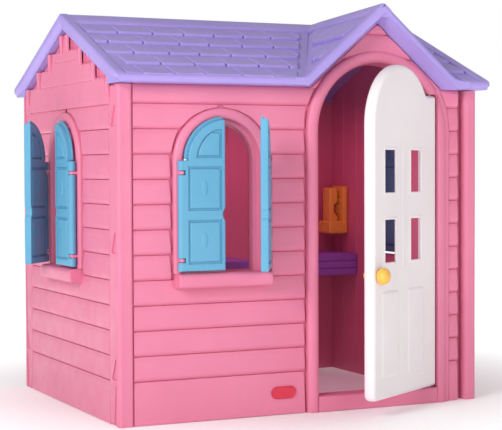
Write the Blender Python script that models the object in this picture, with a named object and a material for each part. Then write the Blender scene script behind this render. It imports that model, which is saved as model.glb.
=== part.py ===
"""A moulded plastic playhouse: four interlocking wall panels, a two-panel roof with a front cross gable,
an arched door, three pairs of arched shutters, and a kitchen counter, corner shelf and toy telephone.

Metres, +Z up, front facing -Y. The origin is on the ground, at the middle of the front wall panel.
Every moving piece has its origin on its own hinge line or slide.
"""
import math

import bmesh
import bpy
from mathutils import Matrix, Vector

# Overall house
WIDTH = 1.169
DEPTH = 0.886
WALL = 0.050
GAP = 0.0003
LEFT, RIGHT = -WIDTH / 2, WIDTH / 2
FRONT, BACK = -WALL / 2, DEPTH - WALL / 2
MIDDLE_Y = (FRONT + BACK) / 2
INSIDE_LEFT, INSIDE_RIGHT = LEFT + WALL, RIGHT - WALL
INSIDE_FRONT, INSIDE_BACK = FRONT + WALL, BACK - WALL

# Roof
EAVE_BOTTOM = 0.949
EAVE_TOP = 0.972
RIDGE_TOP = 1.176
ROOF_DEPTH = 0.045
OVERHANG = 0.045
RAKE_LEFT, RAKE_RIGHT = LEFT - 0.020, RIGHT + 0.022
SLOPE = (RIDGE_TOP - EAVE_TOP) / (MIDDLE_Y - FRONT + OVERHANG)
GABLE_X = 0.2360
GABLE_TOP = 1.200
GABLE_SLOPE = math.tan(math.radians(40.9))
GABLE_FILLET = 0.09
SOFFIT_FRONT, SOFFIT_BACK = 1.169, 1.142

# Proud boards on the side gables, whose ends step up under the roof
FACING = 0.011
GABLE_BASE = 0.897
STEPS, STEP_FIRST, STEP_RUN = 4, 0.034, 0.116

# Openings and their raised mouldings
MOULDING = 0.0125
BAND = 0.035
WINDOW_HALF = 0.119
WINDOW_MOULDING, WINDOW_BAND = 0.009, 0.030
WINDOW_BASE = 0.421
WINDOW_SPRING = 0.735
SILL_BOTTOM = 0.379
SILL_REACH, SILL_HALF = 0.036, 0.145
WINDOW_X = -0.2715
SIDE_WINDOW_Y = MIDDLE_Y + 0.015
DOOR_X = 0.2345
DOOR_HALF = 0.201
DOOR_SPRING = 0.822
THRESHOLD = 0.047

# Door leaf, measured from its hinge line
HINGE_X, HINGE_Y = 0.4185, FRONT + 0.006
DOOR_THICK = 0.036
DOOR_BOTTOM = 0.050
DOOR_SHOULDER = 0.930
DOOR_ARCH_X, DOOR_ARCH_Z, DOOR_ARCH_R = -0.200, 0.835, 0.178
DOOR_ANGLE = 31
JAMB_X = HINGE_X + DOOR_THICK / 2 + 0.003
PANE_OFFSET, PANE_WIDTH = 0.079, 0.064
PANE_ROWS = ((0.643, 0.765), (0.443, 0.565))
KNOB_X, KNOB_Z = -0.350, 0.407

# Shutter leaf, measured from its hinge line
LEAF_THICK = 0.022
LEAF_WIDTH = 0.129
LEAF_BOTTOM = 0.427
LEAF_SHOULDER = 0.736
LEAF_ARCH = 0.115
LEAF_AXIS = 0.133
LEAF_STANDOFF = WINDOW_MOULDING + 0.002 + LEAF_THICK / 2
LUG_RADIUS, LUG_HEIGHT, LUG_CLEARANCE = 0.008, 0.012, 0.001
LUG_ROWS = (0.458, 0.702)
PIN_RADIUS, PIN_LENGTH = 0.0025, 0.034
SCOOP_Z, SCOOP_RADIUS, SCOOP_DEPTH = 0.585, 0.024, 0.007

# Furniture
SHELF_TOP = 0.420
COUNTER_EDGE = 0.027
COUNTER_RIGHT = 0.045
COUNTER_FRONT = 0.430
LEDGE = 0.022
CORNER_LEFT, CORNER_FRONT, CORNER_DROP, CORNER_SKIN = 0.315, 0.625, 0.075, 0.010
PHONE_Y, PHONE_BOTTOM, PHONE_TOP = 0.735, 0.484, 0.651

# Pegs and screws
PEG_RADIUS = 0.006
PEG_ROWS = (0.28, 0.78)
PEG_X = WIDTH / 2 - WALL / 2
ROOF_PEGS_FRONT = (-0.50, 0.52)
ROOF_PEGS_BACK = (-0.50, 0.50)
SCREW_ROWS = (0.15, 0.50, 0.85)
SCREW_RADIUS, HEAD_RADIUS, HEAD_HEIGHT = 0.004, 0.008, 0.005
SCREW_SINK = 0.012
RIDGE_SCREWS = (-0.45, -0.05, 0.50)

PINK = (0.80, 0.22, 0.36)
LAVENDER = (0.36, 0.24, 0.62)
BLUE = (0.14, 0.45, 0.70)
WHITE = (0.80, 0.72, 0.74)
YELLOW = (0.90, 0.55, 0.06)
PURPLE = (0.20, 0.06, 0.42)
RED = (0.70, 0.03, 0.05)
STEEL = (0.60, 0.60, 0.62)


def material(name, colour, roughness=0.4, metallic=0.0):
    """A Principled material of one colour."""
    made = bpy.data.materials.new(name)
    made.use_nodes = True
    shader = made.node_tree.nodes["Principled BSDF"]
    shader.inputs["Base Color"].default_value = (*colour, 1)
    shader.inputs["Roughness"].default_value = roughness
    shader.inputs["Metallic"].default_value = metallic
    return made


def new_object(name, mesh_data, location=(0, 0, 0)):
    """Put a bmesh in the scene as an object with outward faces."""
    bmesh.ops.recalc_face_normals(mesh_data, faces=mesh_data.faces)
    mesh = bpy.data.meshes.new(name)
    mesh_data.to_mesh(mesh)
    mesh_data.free()
    made = bpy.data.objects.new(name, mesh)
    made.location = location
    bpy.context.scene.collection.objects.link(made)
    return made


def loft(name, first, second):
    """A solid between two outlines with the same number of 3-D points."""
    shape = bmesh.new()
    ends = [[shape.verts.new(point) for point in outline] for outline in (first, second)]
    shape.faces.new(ends[0])
    shape.faces.new(list(reversed(ends[1])))
    count = len(first)
    for index in range(count):
        after = (index + 1) % count
        shape.faces.new((ends[0][index], ends[1][index], ends[1][after], ends[0][after]))
    return new_object(name, shape)


def plate_y(name, outline, y_low, y_high):
    """An (x, z) outline, extruded along Y."""
    return loft(name, [(x, y_low, z) for x, z in outline], [(x, y_high, z) for x, z in outline])


def plate_x(name, outline, x_low, x_high):
    """A (y, z) outline, extruded along X."""
    return loft(name, [(x_low, y, z) for y, z in outline], [(x_high, y, z) for y, z in outline])


def block(name, low, high):
    """A box between two corners."""
    outline = [(low[0], low[2]), (high[0], low[2]), (high[0], high[2]), (low[0], high[2])]
    return plate_y(name, outline, low[1], high[1])


def turned(name, profile, location=(0, 0, 0), direction=(0, 0, 1), sides=12):
    """A solid of revolution from (radius, height) pairs, along a direction from a location."""
    shape = bmesh.new()
    rings = []
    for radius, height in profile:
        turns = [2 * math.pi * (step + 0.5) / sides for step in range(sides)]
        rings.append([shape.verts.new((radius * math.cos(a), radius * math.sin(a), height)) for a in turns])
    for lower, upper in zip(rings, rings[1:]):
        for index in range(sides):
            after = (index + 1) % sides
            shape.faces.new((lower[index], lower[after], upper[after], upper[index]))
    shape.faces.new(rings[0])
    shape.faces.new(list(reversed(rings[-1])))
    turn = Vector((0, 0, 1)).rotation_difference(Vector(direction)).to_matrix().to_4x4()
    shape.transform(Matrix.Translation(location) @ turn)
    return new_object(name, shape)


def rod(name, radius, length, location, direction=(0, 0, 1), sides=12):
    """A plain round bar that starts at a location."""
    return turned(name, [(radius, 0), (radius, length)], location, direction, sides)


def combine(target, operation, tools):
    """Join tools to the target or cut them from it, and keep the resulting mesh."""
    for tool in tools:
        modifier = target.modifiers.new(operation.title(), "BOOLEAN")
        modifier.operation = operation
        modifier.object = tool
        graph = bpy.context.evaluated_depsgraph_get()
        result = bpy.data.meshes.new_from_object(target.evaluated_get(graph))
        target.modifiers.clear()
        target.data = result
        bpy.data.objects.remove(tool)
    return target


def unite(target, *tools):
    return combine(target, "UNION", tools)


def cut(target, *tools):
    return combine(target, "DIFFERENCE", tools)


def finish(piece, surface, smooth_angle=30):
    """Give a finished piece its one material and shade its round faces smooth."""
    piece.data.materials.clear()
    piece.data.materials.append(surface)
    piece.data.shade_smooth()
    piece.data.set_sharp_from_angle(angle=math.radians(smooth_angle))
    return piece


def arc(centre, radius, start, end, steps):
    """Points on a round stretch, from one angle in degrees to another."""
    turns = [math.radians(start + (end - start) * step / steps) for step in range(steps + 1)]
    return [(centre[0] + radius * math.cos(a), centre[1] + radius * math.sin(a)) for a in turns]


def arch(middle, half, base, spring, steps=20):
    """A doorway outline: straight jambs with a round head."""
    return [(middle + half, base)] + arc((middle, spring), half, 0, 180, steps) + [(middle - half, base)]


def mirror_y(y):
    """The same depth on the other side of the ridge."""
    return 2 * MIDDLE_Y - y


# Walls ------------------------------------------------------------------------------------------------


def window(side, middle):
    """The raised moulding with its sill and lugs, and the opening, for one wall.

    They are drawn on the front wall at x = 0 and turned to the wall they belong to.
    """
    outer = arch(0, WINDOW_HALF + WINDOW_BAND, SILL_BOTTOM, WINDOW_SPRING)
    moulding = plate_y("moulding", outer, FRONT - WINDOW_MOULDING, FRONT + WALL / 2)
    sill = block("sill", (-SILL_HALF, FRONT - SILL_REACH, SILL_BOTTOM), (SILL_HALF, FRONT + 0.01, WINDOW_BASE))
    unite(moulding, sill)
    hole = plate_y("hole", arch(0, WINDOW_HALF, WINDOW_BASE, WINDOW_SPRING), FRONT - 0.1, INSIDE_FRONT + 0.05)
    if side != "back":
        for hand in (-1, 1):
            for height in LUG_ROWS:
                lug(moulding, hand * LEAF_AXIS, height)
    turn, place = {
        "front": (0, (middle, 0, 0)),
        "back": (180, (middle, 2 * MIDDLE_Y, 0)),
        "left": (-90, (LEFT - FRONT, middle, 0)),
        "right": (90, (RIGHT + FRONT, middle, 0)),
    }[side]
    for piece in (moulding, hole):
        piece.data.transform(Matrix.Translation(place) @ Matrix.Rotation(math.radians(turn), 4, "Z"))
    return moulding, hole


def lug(wall, x, height):
    """A round-nosed lug on the moulding, with the hole that a shutter's pin turns in."""
    axis_y = FRONT - LEAF_STANDOFF
    low, high = height - LUG_HEIGHT / 2, height + LUG_HEIGHT / 2
    neck = block("neck", (x - LUG_RADIUS, axis_y, low), (x + LUG_RADIUS, FRONT, high))
    nose = rod("nose", LUG_RADIUS, LUG_HEIGHT, (x, axis_y, low))
    hole = rod("pin_hole", PIN_RADIUS + GAP, LUG_HEIGHT * 2, (x, axis_y, low - LUG_HEIGHT / 2))
    unite(wall, neck, nose)
    cut(wall, hole)


def front_wall():
    """The front panel, with the gable over the door, the door frame and one window."""
    reach = (SOFFIT_BACK - EAVE_BOTTOM) / GABLE_SLOPE
    outline = [
        (LEFT, 0),
        (RIGHT, 0),
        (RIGHT, EAVE_BOTTOM - GAP),
        (GABLE_X + reach, EAVE_BOTTOM - GAP),
        (GABLE_X, SOFFIT_BACK - 3 * GAP),
        (GABLE_X - reach, EAVE_BOTTOM - GAP),
        (LEFT, EAVE_BOTTOM - GAP),
    ]
    wall = plate_y("front_wall", outline, FRONT, INSIDE_FRONT)
    frame = arch(DOOR_X, DOOR_HALF + BAND, 0, DOOR_SPRING)
    unite(wall, plate_y("door_frame", frame, FRONT - MOULDING, FRONT + 0.01))
    moulding, hole = window("front", WINDOW_X)
    unite(wall, moulding)
    notch = block("notch", (DOOR_X, FRONT - 0.1, THRESHOLD), (JAMB_X, INSIDE_FRONT + 0.05, DOOR_SHOULDER + 0.004))
    doorway = plate_y("doorway", arch(DOOR_X, DOOR_HALF, THRESHOLD, DOOR_SPRING), FRONT - 0.1, INSIDE_FRONT + 0.05)
    cut(wall, hole, unite(doorway, notch))
    for low in (0.025 - GAP, DOOR_SHOULDER - 0.02):
        cut(wall, rod("pivot", 0.005 + GAP, 0.042 + 2 * GAP, (HINGE_X, HINGE_Y, low)))
    for side in (-1, 1):
        for height in PEG_ROWS:
            cut(wall, rod("socket", PEG_RADIUS + GAP, 0.021, (side * PEG_X, INSIDE_FRONT - 0.020, height), (0, 1, 0)))
    for x in ROOF_PEGS_FRONT:
        cut(wall, rod("socket", PEG_RADIUS + GAP, 0.05, (x, 0, EAVE_BOTTOM - 0.020)))
    return wall


def side_wall(name, side):
    """A side panel: a gabled core, with proud gable boards whose ends step up under the roof."""
    outer, inner = side * WIDTH / 2, side * (WIDTH / 2 - WALL)
    rear = INSIDE_BACK - GAP
    top = RIDGE_TOP - ROOF_DEPTH - 4 * GAP
    slope_foot = (rear, top - SLOPE * (rear - MIDDLE_Y))
    core = [(rear, 0), slope_foot, (MIDDLE_Y, top), (mirror_y(rear), slope_foot[1]), (mirror_y(rear), 0)]
    wall = plate_x(name, core, min(outer, inner), max(outer, inner))
    steps = [(MIDDLE_Y + STEP_FIRST + STEP_RUN * (STEPS - 1), GABLE_BASE)]
    for step in reversed(range(STEPS)):
        half = STEP_FIRST + STEP_RUN * step
        height = top - 0.001 - SLOPE * half
        steps += [(MIDDLE_Y + half, steps[-1][1]), (MIDDLE_Y + half, height)] if step < STEPS - 1 else [
            (MIDDLE_Y + half, height)
        ]
    stepped = steps + [(mirror_y(y), z) for y, z in reversed(steps)]
    proud, lap = side * (WIDTH / 2 + FACING), side * (WIDTH / 2 - 0.001)
    unite(wall, plate_x("gable_boards", stepped, min(proud, lap), max(proud, lap)))
    moulding, hole = window("left" if side < 0 else "right", SIDE_WINDOW_Y)
    unite(wall, moulding)
    cut(wall, hole)
    for height in PEG_ROWS:
        cut(wall, rod("socket", PEG_RADIUS + GAP, 0.025, (side * PEG_X, INSIDE_FRONT - 0.005, height), (0, 1, 0)))
    for height in SCREW_ROWS:
        cut(wall, rod("hole", SCREW_RADIUS + GAP, 0.04, (side * PEG_X, INSIDE_BACK - 0.030, height), (0, 1, 0)))
    return wall


def back_wall():
    """The rear panel, with a plain arched window and the ledges that carry the furniture."""
    wall = block("back_wall", (LEFT, INSIDE_BACK, 0), (RIGHT, BACK, EAVE_BOTTOM - GAP))
    moulding, hole = window("back", 0)
    unite(wall, moulding)
    cut(wall, hole)
    under_counter = SHELF_TOP - COUNTER_EDGE - GAP
    under_shelf = SHELF_TOP - CORNER_DROP - GAP
    for low_x, high_x, top in (
        (INSIDE_LEFT + 0.03, -0.15, under_counter),
        (CORNER_LEFT + 0.01, INSIDE_RIGHT - 0.03, under_shelf),
    ):
        unite(wall, block("ledge", (low_x, INSIDE_BACK - LEDGE, top - LEDGE), (high_x, INSIDE_BACK + 0.01, top)))
    for side in (-1, 1):
        for height in SCREW_ROWS:
            seat = (side * PEG_X, BACK + 0.01, height)
            cut(
                wall,
                rod("hole", SCREW_RADIUS + GAP, 0.08, seat, (0, -1, 0)),
                rod("sink", HEAD_RADIUS + 0.001, 0.01 + SCREW_SINK, seat, (0, -1, 0)),
            )
    for x in ROOF_PEGS_BACK:
        cut(wall, rod("socket", PEG_RADIUS + GAP, 0.05, (x, BACK - WALL / 2, EAVE_BOTTOM - 0.020)))
    return wall


# Roof -------------------------------------------------------------------------------------------------


def slope_outline(side):
    """The (y, z) outer outline of one roof panel, solid down to the eave, and its inner one."""
    eave = FRONT - OVERHANG
    ridge = MIDDLE_Y - GAP
    inner_eave = EAVE_TOP + SLOPE * (OVERHANG + WALL) - ROOF_DEPTH
    outer = [(eave, EAVE_BOTTOM), (eave, EAVE_TOP), (ridge, RIDGE_TOP), (ridge, EAVE_BOTTOM)]
    beyond = 0.05
    inner = [
        (INSIDE_FRONT + GAP, EAVE_BOTTOM - beyond),
        (INSIDE_FRONT + GAP, inner_eave),
        (ridge + beyond, inner_eave + SLOPE * (ridge + beyond - INSIDE_FRONT)),
        (ridge + beyond, EAVE_BOTTOM - beyond),
    ]
    if side == "back":
        return [[(mirror_y(y), z) for y, z in outline] for outline in (outer, inner)]
    return outer, inner


def gable_outline(top, base, fillet=0.0):
    """The (x, z) outline of the cross gable, its feet flared into the eave when it has a fillet."""
    reach = (top - base) / GABLE_SLOPE
    half_turn = math.atan(GABLE_SLOPE) / 2
    right = []
    if fillet:
        foot = GABLE_X + reach
        tangent = fillet * math.tan(half_turn)
        centre = (foot + tangent, base + fillet)
        right = arc(centre, fillet, 270, 270 - math.degrees(2 * half_turn), 5)
    else:
        right = [(GABLE_X + reach, base)]
    left = [(2 * GABLE_X - x, z) for x, z in reversed(right)]
    return right + [(GABLE_X, top)] + left


def ridge_flange(panel, x, side):
    """A tab under the ridge, which a screw joins to the other panel's tab."""
    near, far = MIDDLE_Y + side * GAP, MIDDLE_Y + side * 0.024
    low = RIDGE_TOP - ROOF_DEPTH - 0.045
    unite(panel, block("tab", (x - 0.03, min(near, far), low), (x + 0.03, max(near, far), low + 0.07)))
    cut(panel, rod("hole", SCREW_RADIUS + GAP, 0.06, (x, MIDDLE_Y - 0.03, low + 0.018), (0, 1, 0)))


def roof_front():
    """The front slope and the cross gable over the door, moulded as one hollow-backed panel."""
    outer, inner = slope_outline("front")
    panel = plate_x("roof_front", outer, RAKE_LEFT, RAKE_RIGHT)
    front, ridge = FRONT - OVERHANG, MIDDLE_Y - GAP
    drop = GABLE_TOP - RIDGE_TOP
    profile = gable_outline(GABLE_TOP, EAVE_TOP, GABLE_FILLET)
    near = [(profile[0][0], front, EAVE_BOTTOM)] + [(x, front, z) for x, z in profile]
    near += [(profile[-1][0], front, EAVE_BOTTOM)]
    share = [(z - EAVE_BOTTOM) / (GABLE_TOP - EAVE_BOTTOM) for _, _, z in near]
    far = [(x, ridge, z - drop * part) for (x, _, z), part in zip(near, share)]
    unite(panel, loft("cross_gable", near, far))
    cut(panel, plate_x("under_slope", inner, RAKE_LEFT - 0.05, RAKE_RIGHT + 0.05))
    below = EAVE_BOTTOM - 0.02
    hollow = gable_outline(SOFFIT_BACK, below)
    cut(panel, plate_y("under_gable", hollow, FRONT - 0.06, MIDDLE_Y - 0.016))
    wide = gable_outline(SOFFIT_FRONT + 0.001, below)
    cut(panel, loft("soffit", [(x, front - 0.002, z) for x, z in wide], [(x, FRONT, z) for x, z in hollow]))
    for x in RIDGE_SCREWS:
        ridge_flange(panel, x, -1)
    for x in ROOF_PEGS_FRONT:
        cut(panel, rod("socket", PEG_RADIUS + GAP, 0.03, (x, 0, EAVE_BOTTOM - 0.009)))
    return panel


def roof_back():
    """The plain rear slope."""
    outer, inner = slope_outline("back")
    panel = plate_x("roof_back", outer, RAKE_LEFT, RAKE_RIGHT)
    cut(panel, plate_x("under_slope", inner, RAKE_LEFT - 0.05, RAKE_RIGHT + 0.05))
    for x in RIDGE_SCREWS:
        ridge_flange(panel, x, 1)
    for x in ROOF_PEGS_BACK:
        cut(panel, rod("socket", PEG_RADIUS + GAP, 0.03, (x, BACK - WALL / 2, EAVE_BOTTOM - 0.009)))
    return panel


# Door and shutters ------------------------------------------------------------------------------------


def door():
    """The door leaf, drawn shut with its hinge line at the origin, then swung open."""
    half = DOOR_THICK / 2
    left = DOOR_ARCH_X - DOOR_ARCH_R
    shoulder = math.degrees(math.asin((DOOR_SHOULDER - DOOR_ARCH_Z) / DOOR_ARCH_R))
    outline = [(0, DOOR_BOTTOM), (0, DOOR_SHOULDER)]
    outline += arc((DOOR_ARCH_X, DOOR_ARCH_Z), DOOR_ARCH_R, shoulder, 180, 20)
    outline += [(left, DOOR_BOTTOM)]
    leaf = plate_y("door", outline, -half, half)
    unite(leaf, rod("hinge_edge", half - GAP, DOOR_SHOULDER - DOOR_BOTTOM, (0, 0, DOOR_BOTTOM), sides=20))
    for side in (-1, 1):
        middle = DOOR_ARCH_X + side * PANE_OFFSET
        for low, high in PANE_ROWS:
            corners = (middle - PANE_WIDTH / 2, -0.1, low), (middle + PANE_WIDTH / 2, 0.1, high)
            cut(leaf, block("pane", *corners))
    cut(leaf, rod("spindle_hole", 0.008 + GAP, 0.1, (KNOB_X, -0.05, KNOB_Z), (0, 1, 0)))
    for low in (DOOR_BOTTOM - 0.01, DOOR_SHOULDER - 0.040):
        cut(leaf, rod("pin_hole", 0.005 + GAP, 0.050, (0, 0, low)))
    swing(leaf)
    return leaf


def swing(piece):
    """Hang a piece on the door's hinge line and open it to its resting angle."""
    piece.location = (HINGE_X, HINGE_Y, 0)
    piece.rotation_euler.z = math.radians(DOOR_ANGLE)


def door_fittings(yellow, steel):
    """The two halves of the knob and the two hinge pins."""
    half = DOOR_THICK / 2
    outer = [
        (0.008, -2 * half + 0.004),
        (0.008, GAP),
        (0.014, GAP),
        (0.012, 0.008),
        (0.021, 0.014),
        (0.023, 0.020),
        (0.021, 0.028),
        (0.013, 0.033),
    ]
    inner = [(0.013, GAP), (0.010, 0.009), (0.017, 0.015), (0.018, 0.021), (0.015, 0.028), (0.009, 0.030)]
    knobs = [
        turned("door_knob_outer", outer, (KNOB_X, -half, KNOB_Z), (0, -1, 0), 8),
        turned("door_knob_inner", inner, (KNOB_X, half, KNOB_Z), (0, 1, 0), 8),
    ]
    for knob in knobs:
        swing(finish(knob, yellow, 60))
    for name, low in (("door_pin_lower", 0.0255), ("door_pin_upper", DOOR_SHOULDER - 0.0395)):
        swing(finish(rod(name, 0.005, 0.060, (0, 0, low), sides=12), steel))


def leaf_mesh(hand):
    """A shutter leaf's mesh, shut, with its hinge line at the origin; hand is 1 when it reaches to +X."""
    half = LEAF_THICK / 2
    rise = math.sqrt(LEAF_ARCH**2 - (LEAF_AXIS - LEAF_WIDTH) ** 2)
    start = math.degrees(math.acos((LEAF_WIDTH - LEAF_AXIS) / LEAF_ARCH))
    outline = [(0, LEAF_SHOULDER), (0, LEAF_BOTTOM), (LEAF_WIDTH, LEAF_BOTTOM), (LEAF_WIDTH, LEAF_SHOULDER + rise)]
    outline += arc((LEAF_AXIS, LEAF_SHOULDER), LEAF_ARCH, start, 180, 10)[1:]
    leaf = plate_y("leaf", outline, -half, half)
    unite(leaf, rod("hinge_edge", half - GAP, LEAF_SHOULDER - LEAF_BOTTOM, (0, 0, LEAF_BOTTOM), sides=16))
    reach = LUG_HEIGHT / 2 + LUG_CLEARANCE
    for height in LUG_ROWS:
        span = PIN_LENGTH + 4 * GAP
        cut(leaf, block("notch", (-0.05, -0.05, height - reach), (LUG_RADIUS + LUG_CLEARANCE, 0.05, height + reach)))
        cut(leaf, rod("pin_hole", PIN_RADIUS + GAP, span, (0, 0, height - span / 2)))
    scoop = (LEAF_WIDTH + SCOOP_RADIUS - SCOOP_DEPTH, -0.05, SCOOP_Z)
    cut(leaf, rod("scoop", SCOOP_RADIUS, 0.1, scoop, (0, 1, 0), 20))
    if hand < 0:
        leaf.data.transform(Matrix.Scale(-1, 4, (1, 0, 0)))
        leaf.data.flip_normals()
    return leaf


SHUTTERS = (
    # name, wall turn in degrees, hinge side as seen from outside, opened angle at rest
    ("front_shutter_left", 0, -1, 0),
    ("front_shutter_right", 0, 1, 60),
    ("left_shutter_rear", -90, -1, 41),
    ("left_shutter_front", -90, 1, 0),
    ("right_shutter_front", 90, -1, 0),
    ("right_shutter_rear", 90, 1, 0),
)


def shutters(blue, steel):
    """Six shutter leaves on three windows, each with two hinge pins."""
    meshes = {}
    for hand in (1, -1):
        drawn = leaf_mesh(hand)
        meshes[hand] = finish(drawn, blue).data
        bpy.data.objects.remove(drawn)
    for name, turn, side, opened in SHUTTERS:
        centre = {0: (WINDOW_X, 0), -90: (LEFT - FRONT, SIDE_WINDOW_Y), 90: (RIGHT + FRONT, SIDE_WINDOW_Y)}[turn]
        facing = Matrix.Rotation(math.radians(turn), 4, "Z")
        offset = facing @ Vector((side * LEAF_AXIS, FRONT - LEAF_STANDOFF, 0))
        leaf = bpy.data.objects.new(name, meshes[-side])
        bpy.context.scene.collection.objects.link(leaf)
        leaf.location = (centre[0] + offset.x, centre[1] + offset.y, 0)
        leaf.rotation_euler.z = math.radians(turn + side * opened)
        for row, height in zip(("lower", "upper"), LUG_ROWS):
            low = height - PIN_LENGTH / 2
            pin = rod(f"{name}_pin_{row}", PIN_RADIUS, PIN_LENGTH, (0, 0, low))
            pin.location = leaf.location
            finish(pin, steel)


# Furniture and small parts ----------------------------------------------------------------------------


def counter():
    """The kitchen counter in the rear left corner: a slab with a sunk basin."""
    top, under = SHELF_TOP, SHELF_TOP - COUNTER_EDGE
    low_x, high_y = INSIDE_LEFT + GAP, INSIDE_BACK - GAP
    slab = block("kitchen_counter", (low_x, COUNTER_FRONT, under), (COUNTER_RIGHT, high_y, top))
    basin = (-0.40, 0.50), (-0.16, 0.70)
    skin, depth = 0.008, 0.070
    tub = block("tub", (basin[0][0] - skin, basin[0][1] - skin, top - depth - skin),
                (basin[1][0] + skin, basin[1][1] + skin, top - 0.005))
    unite(slab, tub)
    cut(slab, block("basin", (*basin[0], top - depth), (*basin[1], top + 0.05)))
    return slab


def corner_shelf():
    """The deep-fronted shelf in the rear right corner, hollow from below."""
    low = (CORNER_LEFT, CORNER_FRONT, SHELF_TOP - CORNER_DROP)
    high = (INSIDE_RIGHT - GAP, INSIDE_BACK - GAP, SHELF_TOP)
    shelf = block("corner_shelf", low, high)
    skin = CORNER_SKIN
    cut(shelf, block("hollow", (low[0] + skin, low[1] + skin, low[2] - 0.05),
                     (high[0] - skin, high[1] - skin, high[2] - skin)))
    return shelf


def telephone(wall, yellow):
    """A wall telephone: a back plate with a forked cradle, and the handset that lifts out of it."""
    face = INSIDE_RIGHT - GAP
    half = 0.045
    base = block("phone_base", (face - 0.022, PHONE_Y - half, PHONE_BOTTOM), (face, PHONE_Y + half, PHONE_TOP))
    cradle_top = PHONE_BOTTOM + 0.045
    unite(base, block("cradle", (face - 0.075, PHONE_Y - half, PHONE_BOTTOM), (face - 0.01, PHONE_Y + half, cradle_top)))
    pocket_low = (face - 0.066, PHONE_Y - 0.028, PHONE_BOTTOM + 0.012)
    pocket_high = (face - 0.030, PHONE_Y + 0.028, cradle_top + 0.05)
    cut(base, block("pocket", pocket_low, pocket_high))
    unite(base, rod("boss", 0.008, 0.024, (face - 0.005, PHONE_Y, PHONE_TOP - 0.04), (1, 0, 0)))
    cut(wall, rod("boss_hole", 0.008 + GAP, 0.030, (face - 0.01, PHONE_Y, PHONE_TOP - 0.04), (1, 0, 0)))
    finish(base, yellow)

    near, far = pocket_low[0] + 0.001, pocket_high[0] - 0.001
    bottom, top = pocket_low[2] + GAP, PHONE_TOP - 0.006
    ear, neck = 0.048, 0.014
    outline = [
        (near, bottom), (far, bottom), (far, bottom + ear), (far - neck, bottom + ear + neck),
        (far - neck, top - ear - neck), (far, top - ear), (far, top), (near, top),
    ]
    handset = plate_y("phone_handset", outline, PHONE_Y - 0.027, PHONE_Y + 0.027)
    finish(handset, yellow)


def screw(name, surface, location, direction, length):
    """A pan-headed screw whose head's underside is at the location."""
    profile = [
        (SCREW_RADIUS, length),
        (SCREW_RADIUS, 0),
        (HEAD_RADIUS, 0),
        (HEAD_RADIUS, -0.6 * HEAD_HEIGHT),
        (0.6 * HEAD_RADIUS, -HEAD_HEIGHT),
    ]
    finish(turned(name, profile, location, direction), surface)


def fasteners(steel, pink):
    """The corner pegs, roof pegs, rear wall screws and ridge screws."""
    for side, side_name in ((-1, "left"), (1, "right")):
        for row, height in zip(("lower", "upper"), PEG_ROWS):
            place = (side * PEG_X, INSIDE_FRONT - 0.0195, height)
            finish(rod(f"corner_peg_{side_name}_{row}", PEG_RADIUS, 0.039, place, (0, 1, 0)), pink)
        for row, height in zip(("low", "mid", "high"), SCREW_ROWS):
            place = (side * PEG_X, BACK - SCREW_SINK + GAP, height)
            screw(f"wall_screw_{side_name}_{row}", steel, place, (0, -1, 0), 0.066)
    for row, places, y in (("front", ROOF_PEGS_FRONT, 0), ("rear", ROOF_PEGS_BACK, BACK - WALL / 2)):
        for side_name, x in zip(("left", "right"), places):
            finish(rod(f"roof_peg_{row}_{side_name}", PEG_RADIUS, 0.040, (x, y, EAVE_BOTTOM - 0.0195)), pink)
    for number, x in enumerate(RIDGE_SCREWS, 1):
        place = (x, MIDDLE_Y - 0.024 - GAP, RIDGE_TOP - ROOF_DEPTH - 0.027)
        screw(f"ridge_screw_{number}", steel, place, (0, 1, 0), 0.050)


def badge(red):
    """A blank oval badge on the plinth."""
    middle, height, half, radius = -0.079, 0.065, 0.022, 0.018
    outline = arc((middle + half, height), radius, -90, 90, 8) + arc((middle - half, height), radius, 90, 270, 8)
    return finish(plate_y("name_badge", outline, FRONT - 0.003, FRONT - GAP), red)


def main():
    for existing in list(bpy.data.objects):
        bpy.data.objects.remove(existing)
    pink = material("pink_plastic", PINK)
    lavender = material("lavender_plastic", LAVENDER)
    blue = material("blue_plastic", BLUE)
    white = material("white_plastic", WHITE)
    yellow = material("yellow_plastic", YELLOW)
    purple = material("purple_plastic", PURPLE)
    red = material("red_plastic", RED)
    steel = material("zinc_steel", STEEL, 0.35, 1.0)

    right = side_wall("right_wall", 1)
    telephone(right, yellow)
    for wall in (front_wall(), back_wall(), side_wall("left_wall", -1), right):
        finish(wall, pink)
    for panel in (roof_front(), roof_back()):
        finish(panel, lavender)
    finish(door(), white)
    door_fittings(yellow, steel)
    shutters(blue, steel)
    finish(counter(), purple)
    finish(corner_shelf(), purple)
    badge(red)
    fasteners(steel, pink)


main()
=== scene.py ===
"""Looks for the moulded plastic playhouse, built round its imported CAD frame.

Metres, +Z up, front facing -Y. Walls carry lap boards, mouldings and corner posts; the roof carries
pillowed shingles; the door, shutters, furniture and telephone have rounded moulded shapes.
"""

import math
import random

import bmesh
import bpy
from mathutils import Matrix, Vector


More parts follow.
